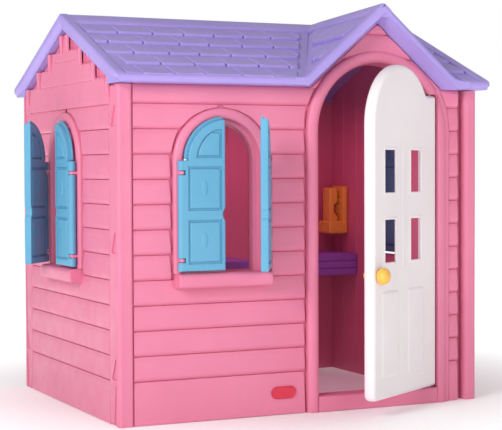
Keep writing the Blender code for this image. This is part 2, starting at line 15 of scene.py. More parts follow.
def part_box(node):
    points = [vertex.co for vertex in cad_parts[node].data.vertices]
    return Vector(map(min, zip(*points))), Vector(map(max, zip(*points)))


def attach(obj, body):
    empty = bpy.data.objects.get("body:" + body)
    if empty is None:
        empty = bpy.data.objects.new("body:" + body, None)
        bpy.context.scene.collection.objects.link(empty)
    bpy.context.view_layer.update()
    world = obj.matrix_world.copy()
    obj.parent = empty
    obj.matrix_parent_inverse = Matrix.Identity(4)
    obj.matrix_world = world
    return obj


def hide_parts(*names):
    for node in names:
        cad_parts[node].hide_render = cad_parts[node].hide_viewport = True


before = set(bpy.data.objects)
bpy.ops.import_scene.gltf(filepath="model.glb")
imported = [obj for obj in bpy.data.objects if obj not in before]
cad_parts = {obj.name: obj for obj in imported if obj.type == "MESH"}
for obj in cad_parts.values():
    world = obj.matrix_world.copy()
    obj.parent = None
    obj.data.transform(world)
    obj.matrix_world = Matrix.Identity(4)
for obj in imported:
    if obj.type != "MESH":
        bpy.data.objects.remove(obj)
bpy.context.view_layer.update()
chance = random.Random(7)

# The house, as the frame has it
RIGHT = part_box("front_wall")[1].x
LEFT = -RIGHT
WALL = 0.050
FRONT, BACK = -WALL / 2, 0.861
MIDDLE_Y = (FRONT + BACK) / 2
INSIDE_FRONT, INSIDE_BACK = FRONT + WALL, BACK - WALL
INSIDE_LEFT, INSIDE_RIGHT = LEFT + WALL, RIGHT - WALL
EAVE_BOTTOM, EAVE_TOP, RIDGE_TOP, ROOF_DEPTH, OVERHANG = 0.949, 0.972, 1.176, 0.045, 0.045
EAVE_Y = FRONT - OVERHANG
RAKE_LEFT, RAKE_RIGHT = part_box("roof_front")[0].x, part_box("roof_front")[1].x
SLOPE = (RIDGE_TOP - EAVE_TOP) / (MIDDLE_Y - EAVE_Y)
GABLE_X, GABLE_TOP, GABLE_ANGLE, GABLE_FILLET = 0.236, 1.200, math.radians(40.9), 0.09
SOFFIT_FRONT, SOFFIT_BACK = 1.169, 1.142

# Siding
PLINTH, COURSE, LAST_LINE = 0.1245, 0.0702, 0.8967
RECESS = -0.0125
POST_LEFT, POST_RIGHT, RECESS_LEFT = -0.5405, 0.5410, 0.5190
HINGE_STRIP = 0.015

# Openings
DOOR_BAND, WINDOW_BAND = 0.035, 0.030
WINDOW_HALF, WINDOW_BASE, WINDOW_SPRING = 0.119, 0.421, 0.735
SILL_BOTTOM, SILL_REACH, SILL_HALF = 0.379, 0.036, 0.145
WINDOW_X, SIDE_WINDOW_Y = -0.2715, MIDDLE_Y + 0.015
DOOR_X, DOOR_HALF, DOOR_SPRING, THRESHOLD = 0.2345, 0.201, 0.822, 0.047
HINGE_X, HINGE_Y, DOOR_ANGLE = 0.4185, -0.019, math.radians(31)
KNOB_X, KNOB_Z = -0.350, 0.407
DOOR_THICK = 0.036
DOOR_PLACE = Matrix.Translation((HINGE_X, HINGE_Y, 0)) @ Matrix.Rotation(DOOR_ANGLE, 4, "Z")
LEAF_AXIS, LEAF_STANDOFF = 0.133, 0.022
LUG_ROWS = (0.458, 0.702)
SCREW_ROWS = (0.15, 0.50, 0.85)


# Materials ------------------------------------------------


def remap(tree, value, source, target):
    """A node that carries a value from one range to another."""
    node = tree.nodes.new("ShaderNodeMapRange")
    node.inputs["From Min"].default_value, node.inputs["From Max"].default_value = source
    node.inputs["To Min"].default_value, node.inputs["To Max"].default_value = target
    tree.links.new(value, node.inputs["Value"])
    return node.outputs["Result"]


def plastic(name, colour, deep, rough=(0.34, 0.50), grain=0.25, wave=0.5):
    """Moulded polyethylene: a slow drift between two shades, a wavy skin, a fine grain and uneven gloss."""
    made = bpy.data.materials.new(name)
    made.use_nodes = True
    nodes, links = made.node_tree.nodes, made.node_tree.links
    shader = nodes["Principled BSDF"]
    place = nodes.new("ShaderNodeTexCoord").outputs["Object"]

    def noise(scale, detail, roughness=0.5):
        node = nodes.new("ShaderNodeTexNoise")
        node.inputs["Scale"].default_value = scale
        node.inputs["Detail"].default_value = detail
        node.inputs["Roughness"].default_value = roughness
        links.new(place, node.inputs["Vector"])
        return node.outputs["Fac"]

    mix = nodes.new("ShaderNodeMix")
    mix.data_type = "RGBA"
    mix.inputs["A"].default_value = (*colour, 1)
    mix.inputs["B"].default_value = (*deep, 1)
    middle = (0.35, 0.65)
    links.new(remap(made.node_tree, noise(3.1, 4), middle, (0, 1)), mix.inputs["Factor"])
    links.new(mix.outputs["Result"], shader.inputs["Base Color"])
    links.new(remap(made.node_tree, noise(19, 3), middle, rough), shader.inputs["Roughness"])
    first, second = nodes.new("ShaderNodeBump"), nodes.new("ShaderNodeBump")
    first.inputs["Strength"].default_value = wave
    first.inputs["Distance"].default_value = 0.002
    links.new(noise(13, 2), first.inputs["Height"])
    second.inputs["Strength"].default_value = grain
    second.inputs["Distance"].default_value = 0.0004
    links.new(noise(420, 2, 0.6), second.inputs["Height"])
    links.new(first.outputs["Normal"], second.inputs["Normal"])
    links.new(second.outputs["Normal"], shader.inputs["Normal"])
    shader.inputs["Specular IOR Level"].default_value = 0.4
    return made


def steel():
    """Zinc-plated steel with a fine grain and uneven gloss."""
    made = plastic("zinc_steel_finish", (0.62, 0.62, 0.65), (0.50, 0.50, 0.53), (0.28, 0.46), 0.35, 0.2)
    made.node_tree.nodes["Principled BSDF"].inputs["Metallic"].default_value = 1.0
    return made


PINK = plastic("pink_plastic_skin", (0.745, 0.215, 0.345), (0.70, 0.19, 0.315))
LAVENDER = plastic("lavender_plastic_skin", (0.41, 0.32, 0.72), (0.365, 0.28, 0.67), (0.30, 0.42))
BLUE = plastic("blue_plastic_skin", (0.118, 0.375, 0.56), (0.10, 0.34, 0.53), wave=0.3)
WHITE = plastic("white_plastic_skin", (0.86, 0.80, 0.815), (0.82, 0.75, 0.77), wave=0.35)
YELLOW = plastic("yellow_plastic_skin", (0.95, 0.55, 0.10), (0.91, 0.50, 0.08), (0.22, 0.34), 0.1, 0.2)
PURPLE = plastic("purple_plastic_skin", (0.34, 0.14, 0.62), (0.30, 0.12, 0.57))
RED = plastic("badge_gloss", (0.66, 0.03, 0.07), (0.60, 0.02, 0.06), (0.12, 0.2), 0.05, 0.1)
ZINC = steel()


# Mesh tools -----------------------------------------------


class Shape:
    """Closed shells gathered for one piece."""

    def __init__(self):
        self.points, self.faces = [], []

    def add(self, points):
        start = len(self.points)
        self.points.extend(tuple(p) for p in points)
        return start

    def loft(self, rings, loop=False):
        """A skin over closed rings of equal counts, capped at both ends unless it loops."""
        count = len(rings[0])
        starts = [self.add(ring) for ring in rings]
        pairs = list(zip(starts, starts[1:]))
        if loop:
            pairs.append((starts[-1], starts[0]))
        for low, high in pairs:
            for i in range(count):
                j = (i + 1) % count
                self.faces.append((low + i, low + j, high + j, high + i))
        if not loop:
            self.faces.append(tuple(reversed(range(starts[0], starts[0] + count))))
            self.faces.append(tuple(range(starts[-1], starts[-1] + count)))
        return self

    def pillow(self, place, left, right, low, high, top, base, edge, columns=2, rows=2):
        """A raised patch with a rounded rim and corners.

        place(s, t, h) puts a point in the house. left and right end the patch: numbers, or functions
        of t. top is its full height: a number, or a function of (u, v) from 0 to 1.
        """
        left, right = (end if callable(end) else (lambda t, end=end: end) for end in (left, right))
        span = high - low
        widths = [right(low + span * f) - left(low + span * f) for f in (0.1, 0.5, 0.9)]
        width = max(sum(widths) / 3, 2.2 * edge)
        us, vs = rim_steps(width, edge, columns), rim_steps(span, edge, rows)
        grid = []
        for v in vs:
            line = []
            for u in us:
                du, dv = min(u, width - u), min(v, span - v)
                x, y = u, v
                if du < edge and dv < edge:
                    out = (edge - du, edge - dv)
                    length = math.hypot(*out)
                    scale = max(out) / length if length else 1
                    x = edge - out[0] * scale if u < width / 2 else width - edge + out[0] * scale
                    y = edge - out[1] * scale if v < span / 2 else span - edge + out[1] * scale
                near = min(du, dv, edge)
                rise = math.sqrt(max(1 - (1 - near / edge) ** 2, 0))
                full = top(x / width, y / span) if callable(top) else top
                t = low + y
                s = left(t) + (right(t) - left(t)) * x / width
                line.append(place(s, t, base + (full - base) * rise))
            grid.append(line)
        start, n, m = self.add([p for line in grid for p in line]), len(us), len(vs)
        for i in range(m - 1):
            for j in range(n - 1):
                a = start + i * n + j
                self.faces.append((a, a + 1, a + n + 1, a + n))
        rim = [start + j for j in range(n)] + [start + i * n + n - 1 for i in range(1, m)]
        rim += [start + (m - 1) * n + j for j in reversed(range(n - 1))]
        rim += [start + i * n for i in reversed(range(1, m - 1))]
        self.faces.append(tuple(reversed(rim)))
        return self

    def mesh(self, name):
        made = bpy.data.meshes.new(name)
        made.from_pydata(self.points, [], self.faces)
        work = bmesh.new()
        work.from_mesh(made)
        bmesh.ops.remove_doubles(work, verts=work.verts, dist=1e-6)
        bmesh.ops.dissolve_degenerate(work, edges=work.edges, dist=1e-6)
        bmesh.ops.recalc_face_normals(work, faces=work.faces)
        work.to_mesh(made)
        work.free()
        return made

    def object(self, name):
        return linked(name, self.mesh(name))


def linked(name, data):
    made = bpy.data.objects.new(name, data)
    bpy.context.scene.collection.objects.link(made)
    return made


def rim_steps(length, edge, middle):
    """Distances across a patch: close together on the rounded rim, even between."""
    rim = [edge * (1 - math.cos(math.radians(a))) for a in (0, 25, 45, 68, 90)]
    rim = [min(r, length / 2) for r in rim]
    inner = [rim[-1] + (length - 2 * rim[-1]) * i / (middle + 1) for i in range(1, middle + 1)]
    return rim + inner + [length - r for r in reversed(rim)]


def change(target, operation, tool):
    """Cut or join another solid and keep the result."""
    modifier = target.modifiers.new(operation.title(), "BOOLEAN")
    modifier.operation, modifier.object, modifier.solver = operation, tool, "EXACT"
    return bake(target, [tool])


def bake(target, tools=()):
    """Keep the evaluated mesh, modifiers applied."""
    graph = bpy.context.evaluated_depsgraph_get()
    result = bpy.data.meshes.new_from_object(target.evaluated_get(graph))
    target.modifiers.clear()
    target.data = result
    for tool in tools:
        bpy.data.objects.remove(tool)
    return target


def cut(target, shape):
    return change(target, "DIFFERENCE", shape.object("cutter"))


def bevel(target, width, segments=2, angle=35):
    modifier = target.modifiers.new("Bevel", "BEVEL")
    modifier.width, modifier.segments = width, segments
    modifier.limit_method, modifier.angle_limit = "ANGLE", math.radians(angle)
    modifier.use_clamp_overlap = True
    return bake(target)


def join(target, *others):
    """Merge other objects' meshes into the target."""
    work = bmesh.new()
    work.from_mesh(target.data)
    for other in others:
        work.from_mesh(other.data)
        bpy.data.objects.remove(other)
    work.to_mesh(target.data)
    work.free()
    return target


def finish(piece, surface, body="house", replaces=(), smooth=38):
    """Material, shading and body for one finished piece, with the CAD parts it replaces hidden."""
    piece.data.materials.clear()
    piece.data.materials.append(surface)
    piece.data.shade_smooth()
    piece.data.set_sharp_from_angle(angle=math.radians(smooth))
    modifier = piece.modifiers.new("Normals", "WEIGHTED_NORMAL")
    modifier.keep_sharp = True
    bake(piece)
    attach(piece, body)
    if replaces:
        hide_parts(*replaces)
    return piece


def arc(centre, radius, start, end, steps):
    turns = [math.radians(start + (end - start) * i / steps) for i in range(steps + 1)]
    return [(centre[0] + radius * math.cos(a), centre[1] + radius * math.sin(a)) for a in turns]


def prism(place, outline, low, high, shape=None):
    """An outline of (s, t) pairs, extruded between two heights h."""
    shape = shape or Shape()
    return shape.loft([[place(s, t, h) for s, t in outline] for h in (low, high)])


def rectangle(x0, z0, x1, z1):
    return [(x0, z0), (x1, z0), (x1, z1), (x0, z1)]


def arch_outline(middle, half, base, spring, steps=28):
    return [(middle + half, base)] + arc((middle, spring), half, 0, 180, steps) + [(middle - half, base)]


def arch_edge(half, spring, z):
    """Half the width of an arch at a height."""
    return half if z <= spring else math.sqrt(max(half * half - (z - spring) ** 2, 0.0))


def rounded_box(low, high, radius, segments=3):
    """A box with rounded edges, as an object."""
    shape = prism(lambda s, t, h: (s, h, t), rectangle(low[0], low[2], high[0], high[2]), low[1], high[1])
    return bevel(shape.object("box"), radius, segments)


def lathe(shape, profile, place, sides=24, turn=0.5):
    """A solid of revolution; place(x, y, h) puts it in the house."""
    rings = []
    for radius, height in profile:
        angles = [2 * math.pi * (i + turn) / sides for i in range(sides)]
        rings.append([place(radius * math.cos(a), radius * math.sin(a), height) for a in angles])
    return shape.loft(rings)


def mm(pairs):
    """Pairs given in millimetres, in metres."""
    return [(a / 1000, b / 1000) for a, b in pairs]


# Places: s runs along a wall, t is the height, h stands out from its face
def on_front(s, t, h):
    return (s, FRONT - h, t)


def on_back(s, t, h):
    return (-s, BACK + h, t)


def on_left(s, t, h):
    return (LEFT - h, 2 * MIDDLE_Y - s, t)


def on_right(s, t, h):
    return (RIGHT + h, s, t)


def upright(s, t, h):
    """For plans: s and t lie along X and Y, h is the height."""
    return (s, t, h)


# Walls ----------------------------------------------------


def board(shape, place, rows, left, right, end=0.003):
    """One lap board. rows are (height, depth) up its face; left and right give its ends at a height."""
    length = right(rows[0][0]) - left(rows[0][0])
    spans = 2 if length < 0.02 else max(int(length / 0.09), 1)
    stations = [(0.0, 0.0, end), (0.0, 0.3 * end, 0.35 * end), (0.0, end, 0.0)]
    stations += [(i / spans, 0.0, 0.0) for i in range(1, spans)]
    stations += [(1.0, -end, 0.0), (1.0, -0.3 * end, 0.35 * end), (1.0, 0.0, end)]
    foot, head = rows[0][0], rows[-1][0]
    rings = []
    for fraction, shift, sink in stations:
        wave = chance.uniform(-0.0004, 0.0004) if 0 < fraction < 1 else 0
        face = [(z, max(depth - sink + wave, RECESS)) for z, depth in rows]
        face += [(head, RECESS - 0.003), (foot, RECESS - 0.003)]
        rings.append([place(left(z) + (right(z) - left(z)) * fraction + shift, z, h) for z, h in face])
    shape.loft(rings)


def course_rows(low, high, relief=1.0):
    """The face of one course: a rounded lip, a long slope back, and a soft shoulder under the next lip."""
    lip = mm([(-1, -6.6), (2.5, -3), (5.5, -1), (9, -0.2), (13, 0), (24, -0.4)])
    shoulder = mm([(18, -2.6), (11, -4.2), (6.5, -5.6), (3.5, -6.6)])
    face = [(low + up, depth) for up, depth in lip] + [((low + high) / 2, -0.0012)]
    face += [(high - down, depth) for down, depth in shoulder]
    return [(low - 0.0040, RECESS)] + [(z, depth * relief) for z, depth in face] + [(high - 0.0030, RECESS)]


def ragged(edge_at, side, low, high):
    """A board end beside a moulding: its gap is wider at the top and its edge wavers."""
    wide, narrow = chance.uniform(0.008, 0.011), chance.uniform(0.005, 0.007)

    def at(z):
        up = min(max((z - low) / (high - low), 0), 1)
        return edge_at(z) + side * (narrow + (wide - narrow) * up)

    return at


def siding(shape, place, start, end, openings, top, relief=1.0):
    """Plinth and courses between two upright edges, stopping at each opening's moulding.

    openings are (middle, outer half, opening base, opening top, spring).
    """
    bands = [(0.0, PLINTH)]
    line = PLINTH
    while line < top - 0.02:
        bands.append((line, min(line + COURSE, top)))
        line += COURSE
    for number, (low, high) in enumerate(bands):
        if number == 0:
            rows = [(0.0005, -0.004), (0.002, -0.001), (0.006, 0.0)] + course_rows(low, high, relief)[6:]
        elif high == top:
            rows = course_rows(low, high)[:6] + [(low + 0.016, 0.0008), ((low + high) / 2, 0.0014)]
            rows += [(high - down, depth) for down, depth in mm([(12, 0.4), (4, -2), (0, -6)])]
        else:
            rows = course_rows(low, high, relief)
        ends = [lambda z: start]
        for middle, half, base, crown, spring in openings:
            if low < crown and high > base:
                def beside(side, half=half, middle=middle, spring=spring):
                    return lambda z: middle + side * arch_edge(half, spring, z)

                ends += [ragged(beside(side), side, low, high) for side in (-1, 1)]
                if middle == DOOR_X:
                    ends[-1] = beside(1, half + HINGE_STRIP)
        ends.append(lambda z: end)
        for left, right in zip(ends[::2], ends[1::2]):
            board(shape, place, rows, left, right)


# The roll of a moulding's face, as shares of its width and relief
BAND_FORM = ((0.0, 0.12), (0.03, 0.48), (0.12, 0.80), (0.28, 0.97), (0.47, 1.0), (0.67, 0.94), (0.85, 0.74),
             (0.96, 0.42), (1.0, 0.0))


def moulding(shape, place, middle, half, band, relief, base, spring, lip=0.003):
    """The rounded band round an arched opening, with its reveal through the wall."""
    section = [(-lip, -WALL - 0.0012), (-lip, -0.0235), (0.0015 - lip, -0.0210)]
    section += mm([(-1.5, -20), (0, -17)]) + [(band * r, relief * h) for r, h in BAND_FORM]
    section += [(band, RECESS - 0.010), (band - 0.005, -WALL + 0.003)]
    section += [(band - 0.013, -WALL - 0.0008), (band - 0.015, -WALL - 0.0012)]
    path = [(middle + half, base, 1.0, 0.0)]
    for out, up in arc((0, 0), 1, 0, 180, 32):
        path.append((middle + half * out, spring + half * up, out, up))
    path.append((middle - half, base, -1.0, 0.0))
    shape.loft([[place(x + nx * r, z + nz * r, h) for r, h in section] for x, z, nx, nz in path])


def sill(shape, place, middle):
    """The window's projecting sill, with rounded edges."""
    profile = [
        (-WALL + 0.003, SILL_BOTTOM + 0.008), (-WALL + 0.003, WINDOW_BASE), (0.010, WINDOW_BASE),
        (0.024, WINDOW_BASE - 0.0005), (0.031, WINDOW_BASE - 0.002), (0.035, WINDOW_BASE - 0.006),
        (SILL_REACH, WINDOW_BASE - 0.013), (0.035, SILL_BOTTOM + 0.009), (0.032, SILL_BOTTOM + 0.003),
        (0.026, SILL_BOTTOM), (RECESS, SILL_BOTTOM),
    ]
    rings, centre_h, centre_z = [], 0.005, (SILL_BOTTOM + WINDOW_BASE) / 2
    for s, shrink in ((-1, 0.88), (-0.988, 0.97), (-0.965, 1.0), (0.965, 1.0), (0.988, 0.97), (1, 0.88)):
        ring = []
        for h, z in profile:
            keep = shrink if h > 0 else 1
            z, h = centre_z + (z - centre_z) * keep, centre_h + (h - centre_h) * keep
            ring.append(place(middle + s * SILL_HALF, z, h))
        rings.append(ring)
    shape.loft(rings)


def lugs(shape, place, middle):
    """Two pairs of round-nosed lugs that hold the shutters' pins."""
    nose = 0.008
    for hand in (-1, 1):
        for row in LUG_ROWS:
            outline = [(nose, 0.0)] + arc((0, LEAF_STANDOFF), nose, 0, 180, 14) + [(-nose, 0.0)]
            rings = []
            for z, inset in mm([(-4.5, 1.0), (-3.6, 0), (3.6, 0), (4.5, 1.0)]):
                keep = 1 - inset / nose
                rings.append([place(middle + hand * LEAF_AXIS + x * keep, row + z,
                                    LEAF_STANDOFF + (h - LEAF_STANDOFF) * keep) for x, h in outline])
            shape.loft(rings)


def grooves(place, start, end, low, high, pitch=0.082):
    """Shallow upright V grooves for a wall's inner face."""
    shape = Shape()
    count = int((end - start) / pitch)
    step = (end - start) / count
    for i in range(1, count):
        s = start + i * step
        outline = [(s - 0.004, -WALL - 0.001), (s, -WALL + 0.0035), (s + 0.004, -WALL - 0.001)]
        shape.loft([[place(a, z, h) for a, h in outline] for z in (low, high)])
    return shape


def archway(place, middle, half, base, spring):
    """A cutter for an arched opening, wide enough to lie behind its moulding."""
    return prism(place, arch_outline(middle, half + 0.012, base, spring), -0.1, 0.1)


def core(place, outline, middle, start, end, high):
    """The wall's inner panel, behind its boards, with its window and inner grooves."""
    body = prism(place, outline, -WALL, RECESS - 0.0005).object("core")
    cut(body, archway(place, middle, WINDOW_HALF, WINDOW_BASE - 0.002, WINDOW_SPRING))
    cut(body, grooves(place, start, end, 0.03, high))
    return body


def window_opening(middle):
    return (middle, WINDOW_HALF + WINDOW_BAND, WINDOW_BASE, WINDOW_SPRING + WINDOW_HALF, WINDOW_SPRING)


def window_trim(name, place, middle, with_lugs=True):
    shape = Shape()
    moulding(shape, place, middle, WINDOW_HALF, WINDOW_BAND, 0.0092, WINDOW_BASE - 0.0005, WINDOW_SPRING, 0.012)
    if with_lugs:
        lugs(shape, place, middle)
    sill(shape, place, middle)
    finish(shape.object(f"{name}_window_moulding"), PINK, smooth=50)


def post(shape, x0, x1, r=0.009, flip=False):
    """An upright corner post with edges of radius r, slightly hollow on its outer face."""
    def depth(y):
        return 2 * MIDDLE_Y - y if flip else y

    y0, y1, top = FRONT - 0.0025, -0.0055, EAVE_BOTTOM - 0.002
    outline = arc((x0 + r, y0 + r), r, 180, 270, 5) + [((x0 + x1) / 2, y0 + 0.0012)]
    outline += arc((x1 - r, y0 + r), r, 270, 360, 5) + [(x1, y1), (x0, y1)]
    middle, rings = (x0 + x1) / 2, []
    for z, keep in ((0.0, 0.9), (0.003, 1.0), (top, 1.0)):
        rings.append([(middle + (x - middle) * keep, depth(y1 + (y - y1) * keep), z) for x, y in outline])
    shape.loft(rings)


def side_margin(side, rear):
    """The plain upright strip beside a corner, with wedge pockets moulded into it."""
    def place(s, t, h):
        return (side * (RIGHT + h), 2 * MIDDLE_Y - s if rear else s, t)

    strip = Shape()
    strip.pillow(place, -0.0043, 0.0488, 0.002, EAVE_BOTTOM - 0.003, -0.0005, -0.0150, 0.004, 2, 8)
    body = strip.object("margin")
    pockets = Shape()
    for line in (0, 5, 10):
        low = PLINTH + COURSE * line + 0.004
        high = low + COURSE - 0.012
        outline = [(-0.008, low), (0.026, low), (0.029, low + 0.006), (0.004, high), (-0.008, high)]
        pockets.loft([[place(s, t, h) for s, t in outline] for h in (-0.0052, 0.01)])
    foot = [(-0.008, -0.01), (0.018, -0.01), (0.003, 0.112), (-0.008, 0.112)]
    pockets.loft([[place(s, t, h) for s, t in foot] for h in (-0.0050, 0.01)])
    cut(body, pockets)
    return bevel(body, 0.0016, 2, 40)


def front_wall():
    door = (DOOR_X, DOOR_HALF + DOOR_BAND, THRESHOLD, DOOR_SPRING + DOOR_HALF, DOOR_SPRING)
    reach = (SOFFIT_BACK - EAVE_BOTTOM) / math.tan(GABLE_ANGLE)
    outline = [
        (LEFT + 0.006, 0.0), (RIGHT - 0.006, 0.0), (RIGHT - 0.006, EAVE_BOTTOM - 0.001),
        (GABLE_X + reach, EAVE_BOTTOM - 0.001), (GABLE_X, SOFFIT_BACK - 0.001),
        (GABLE_X - reach, EAVE_BOTTOM - 0.001), (LEFT + 0.006, EAVE_BOTTOM - 0.001),
    ]
    body = prism(on_front, outline, -WALL, RECESS - 0.0005).object("core")
    cut(body, archway(on_front, WINDOW_X, WINDOW_HALF, WINDOW_BASE - 0.002, WINDOW_SPRING))
    cut(body, archway(on_front, DOOR_X, DOOR_HALF, THRESHOLD - 0.004, DOOR_SPRING))
    slot = rectangle(RECESS_LEFT - 0.004, -0.1, POST_RIGHT + 0.004, EAVE_BOTTOM + 0.1)
    cut(body, prism(on_front, slot, -0.031, 0.1))
    cut(body, grooves(on_front, INSIDE_LEFT, -0.02, 0.03, 0.93))
    finish(body, PINK, replaces=["front_wall"]).name = "front_wall_core"

    boards = Shape()
    siding(boards, on_front, POST_LEFT + 0.0015, RECESS_LEFT, [window_opening(WINDOW_X), door], EAVE_BOTTOM)
    gable_boards(boards)
    finish(boards.object("front_wall_siding"), PINK)

    window_trim("front", on_front, WINDOW_X)

    surround = Shape()
    moulding(surround, on_front, DOOR_X, DOOR_HALF, DOOR_BAND, 0.0129, 0.0, DOOR_SPRING)
    door_frame = surround.object("door_frame_moulding")
    jamb, shoulder = HINGE_X + 0.021, 0.934
    cut(door_frame, prism(on_front, rectangle(DOOR_X, THRESHOLD, jamb, shoulder), -0.2, 0.2))
    finish(bevel(door_frame, 0.0012, 2, 50), PINK, smooth=50)

    band, outer = Shape(), DOOR_HALF + DOOR_BAND - 0.007
    moulding(band, on_front, DOOR_X, outer, HINGE_STRIP + 0.006, 0.0045, 0.0, DOOR_SPRING)
    hinge_side = trimmed(band.object("band"), Vector((DOOR_X + 0.1, 0, 0)), Vector((-1, 0, 0)))
    hinge_side = trimmed(hinge_side, Vector((0, 0, EAVE_BOTTOM)), Vector((0, 0, 1)))
    finish(hinge_side, PINK, smooth=50).name = "door_frame_band"

    step = Shape()
    half = DOOR_HALF + 0.002
    profile = [(-WALL, 0.002), (-WALL, THRESHOLD - 0.002), (-WALL + 0.003, THRESHOLD), (0.006, THRESHOLD),
               (0.010, THRESHOLD - 0.003), (0.0115, THRESHOLD - 0.008), (0.0115, 0.002), (0.009, 0.0)]
    step.loft([[on_front(DOOR_X + s, z, h) for h, z in profile] for s in (-half, half)])
    finish(step.object("door_threshold"), PINK, smooth=50)

    posts = Shape()
    post(posts, LEFT, POST_LEFT)
    post(posts, POST_RIGHT, RIGHT, 0.014)
    finish(posts.object("front_corner_posts"), PINK, smooth=50)


def gable_boards(shape):
    """The short boards over the header, between the door's arch and the roof."""
    def limit(side):
        return lambda z: GABLE_X + side * max((SOFFIT_BACK - z) / math.tan(GABLE_ANGLE) - 0.003, 0.002)

    def arch_side(side):
        return lambda z: DOOR_X + side * (arch_edge(DOOR_HALF + DOOR_BAND, DOOR_SPRING, z) + 0.003)

    low, first, second = EAVE_BOTTOM - 0.004, 1.037, 1.110
    rows = [(low, -0.004), (low + 0.004, -0.001), (low + 0.03, -0.001)] + course_rows(low, first)[6:]
    board(shape, on_front, rows, limit(-1), arch_side(-1), 0.002)
    board(shape, on_front, rows, arch_side(1), limit(1), 0.002)
    for low, high in ((first, second), (second, SOFFIT_BACK - 0.004)):
        board(shape, on_front, course_rows(low, high), limit(-1), limit(1), 0.002)


def screw_seats():
    """Cutters for the sunk seats of the six screws through the back panel."""
    seats = Shape()
    for side in (-1, 1):
        for row in SCREW_ROWS:
            def place(x, y, h, middle=side * (RIGHT - WALL / 2), row=row):
                return (middle + x, BACK + h, row + y)
            lathe(seats, mm([(9, -11.8), (9, 20)]), place, 20)
    return seats


def back_wall():
    outline = rectangle(LEFT + 0.004, 0, RIGHT - 0.004, EAVE_BOTTOM - 0.001)
    body = core(on_back, outline, 0.0, INSIDE_LEFT, INSIDE_RIGHT, 0.93)
    for x0, x1, top in ((INSIDE_LEFT + 0.03, -0.15, 0.3927), (0.325, INSIDE_RIGHT - 0.03, 0.3447)):
        join(body, rounded_box((x0, INSIDE_BACK - 0.022, top - 0.022), (x1, INSIDE_BACK + 0.01, top), 0.003))
    cut(body, screw_seats())
    finish(body, PINK, replaces=["back_wall"]).name = "back_wall_core"
    boards = Shape()
    siding(boards, on_back, POST_LEFT + 0.0015, -POST_LEFT - 0.0015, [window_opening(0.0)], EAVE_BOTTOM)
    finish(boards.object("back_wall_siding"), PINK)
    window_trim("back", on_back, 0.0, with_lugs=False)
    posts = Shape()
    for x in (LEFT, RIGHT - 0.044):
        post(posts, x, x + 0.044, flip=True)
    corner = posts.object("back_corner_posts")
    cut(corner, screw_seats())
    finish(corner, PINK, smooth=50)


def side_wall(side):
    name = "left" if side < 0 else "right"
    place = on_left if side < 0 else on_right
    start, end = INSIDE_FRONT + 0.0005, INSIDE_BACK - 0.0005
    top = RIDGE_TOP - ROOF_DEPTH - 0.0015
    foot = top - SLOPE * (end - MIDDLE_Y)
    outline = [(start, 0), (end, 0), (end, foot), (MIDDLE_Y, top), (start, foot)]
    middle = SIDE_WINDOW_Y if side > 0 else 2 * MIDDLE_Y - SIDE_WINDOW_Y
    body = core(place, outline, middle, start, end, 0.99)
    finish(body, PINK, replaces=[f"{name}_wall"]).name = f"{name}_wall_core"

    boards = Shape()
    siding(boards, place, 0.0495, 2 * MIDDLE_Y - 0.0495, [window_opening(middle)], LAST_LINE + 0.004, 0.6)
    finish(boards.object(f"{name}_wall_siding"), PINK)
    window_trim(name, place, middle)
    finish(gable_facing(place, top), PINK, smooth=50).name = f"{name}_gable_boards"
    for rear, where in ((False, "front"), (True, "rear")):
        finish(side_margin(side, rear), PINK, smooth=50).name = f"{name}_{where}_margin"


# A strip's sections: distance below its top, width and height
STRIP_FORM = ((0.058, 0.006, 0.0040), (0.050, 0.011, 0.0072), (0.030, 0.0125, 0.0095), (0.004, 0.013, 0.0108),
              (0.0005, 0.012, 0.0085))


def gable_facing(place, top):
    """The boards under the roof: stepped ends with raised strips, wedge pockets and lap grooves."""
    steps = []
    height = LAST_LINE - 0.0035
    for number in reversed(range(4)):
        half = 0.034 + 0.116 * number
        rise = top - 0.001 - SLOPE * half
        steps += [(half, height), (half, rise)]
        height = rise
    outline = [(MIDDLE_Y + s, z) for s, z in steps] + [(MIDDLE_Y - s, z) for s, z in reversed(steps)]
    body = bevel(prism(place, outline, -0.020, 0.0035).object("facing"), 0.0035, 3)
    laps, wedges, strips = Shape(), Shape(), Shape()
    for number in (1, 2, 3):
        line = LAST_LINE + number * COURSE
        wide = max(h for h, z in steps if z >= line)
        profile = [(line - 0.0005, 0.0008), (line + 0.010, 0.0050), (line - 0.004, 0.0050)]
        laps.loft([[place(MIDDLE_Y + s, z, h) for z, h in profile] for s in (-wide + 0.045, wide - 0.045)])
    for half, rise in steps[1::2]:
        for hand in (-1, 1):
            upper, lower = rise + 0.008, rise - 0.054
            inner = 0.030 if half < 0.05 else 0.038
            wedge = [(inner, upper), (0.0125, upper), (0.0135, lower), (0.017, lower)]
            wedges.loft([[place(MIDDLE_Y + hand * (half - s), z, h) for s, z in wedge] for h in (-0.0118, 0.02)])
            rings = []
            for down, wide, high in STRIP_FORM:
                bump = [(0.0, -0.004), (0.0, 0.45 * high), (0.10, 0.78 * high), (0.30, high), (0.60, high),
                        (0.88, 0.7 * high), (1.0, -0.004)]
                rings.append([place(MIDDLE_Y + hand * (half - wide * f), rise - down, h) for f, h in bump])
            strips.loft(rings)
    cut(body, laps)
    cut(body, wedges)
    bevel(body, 0.0012, 2, 50)
    return join(body, strips.object("strips"))


# Roof -----------------------------------------------------

SLOPE_ANGLE = math.atan(SLOPE)
SKIN = 0.0070
ROOF_GAP = 0.0004
RIDGE_Y = MIDDLE_Y - ROOF_GAP
ROW_START, ROWS = 0.066, 5
TAB_PLACES = (-0.45, -0.05, 0.50)
SHINGLE_LIP, SHINGLE_TOP = 0.0032, -0.0052


def main_top(y):
    return RIDGE_TOP - SLOPE * abs(MIDDLE_Y - y)


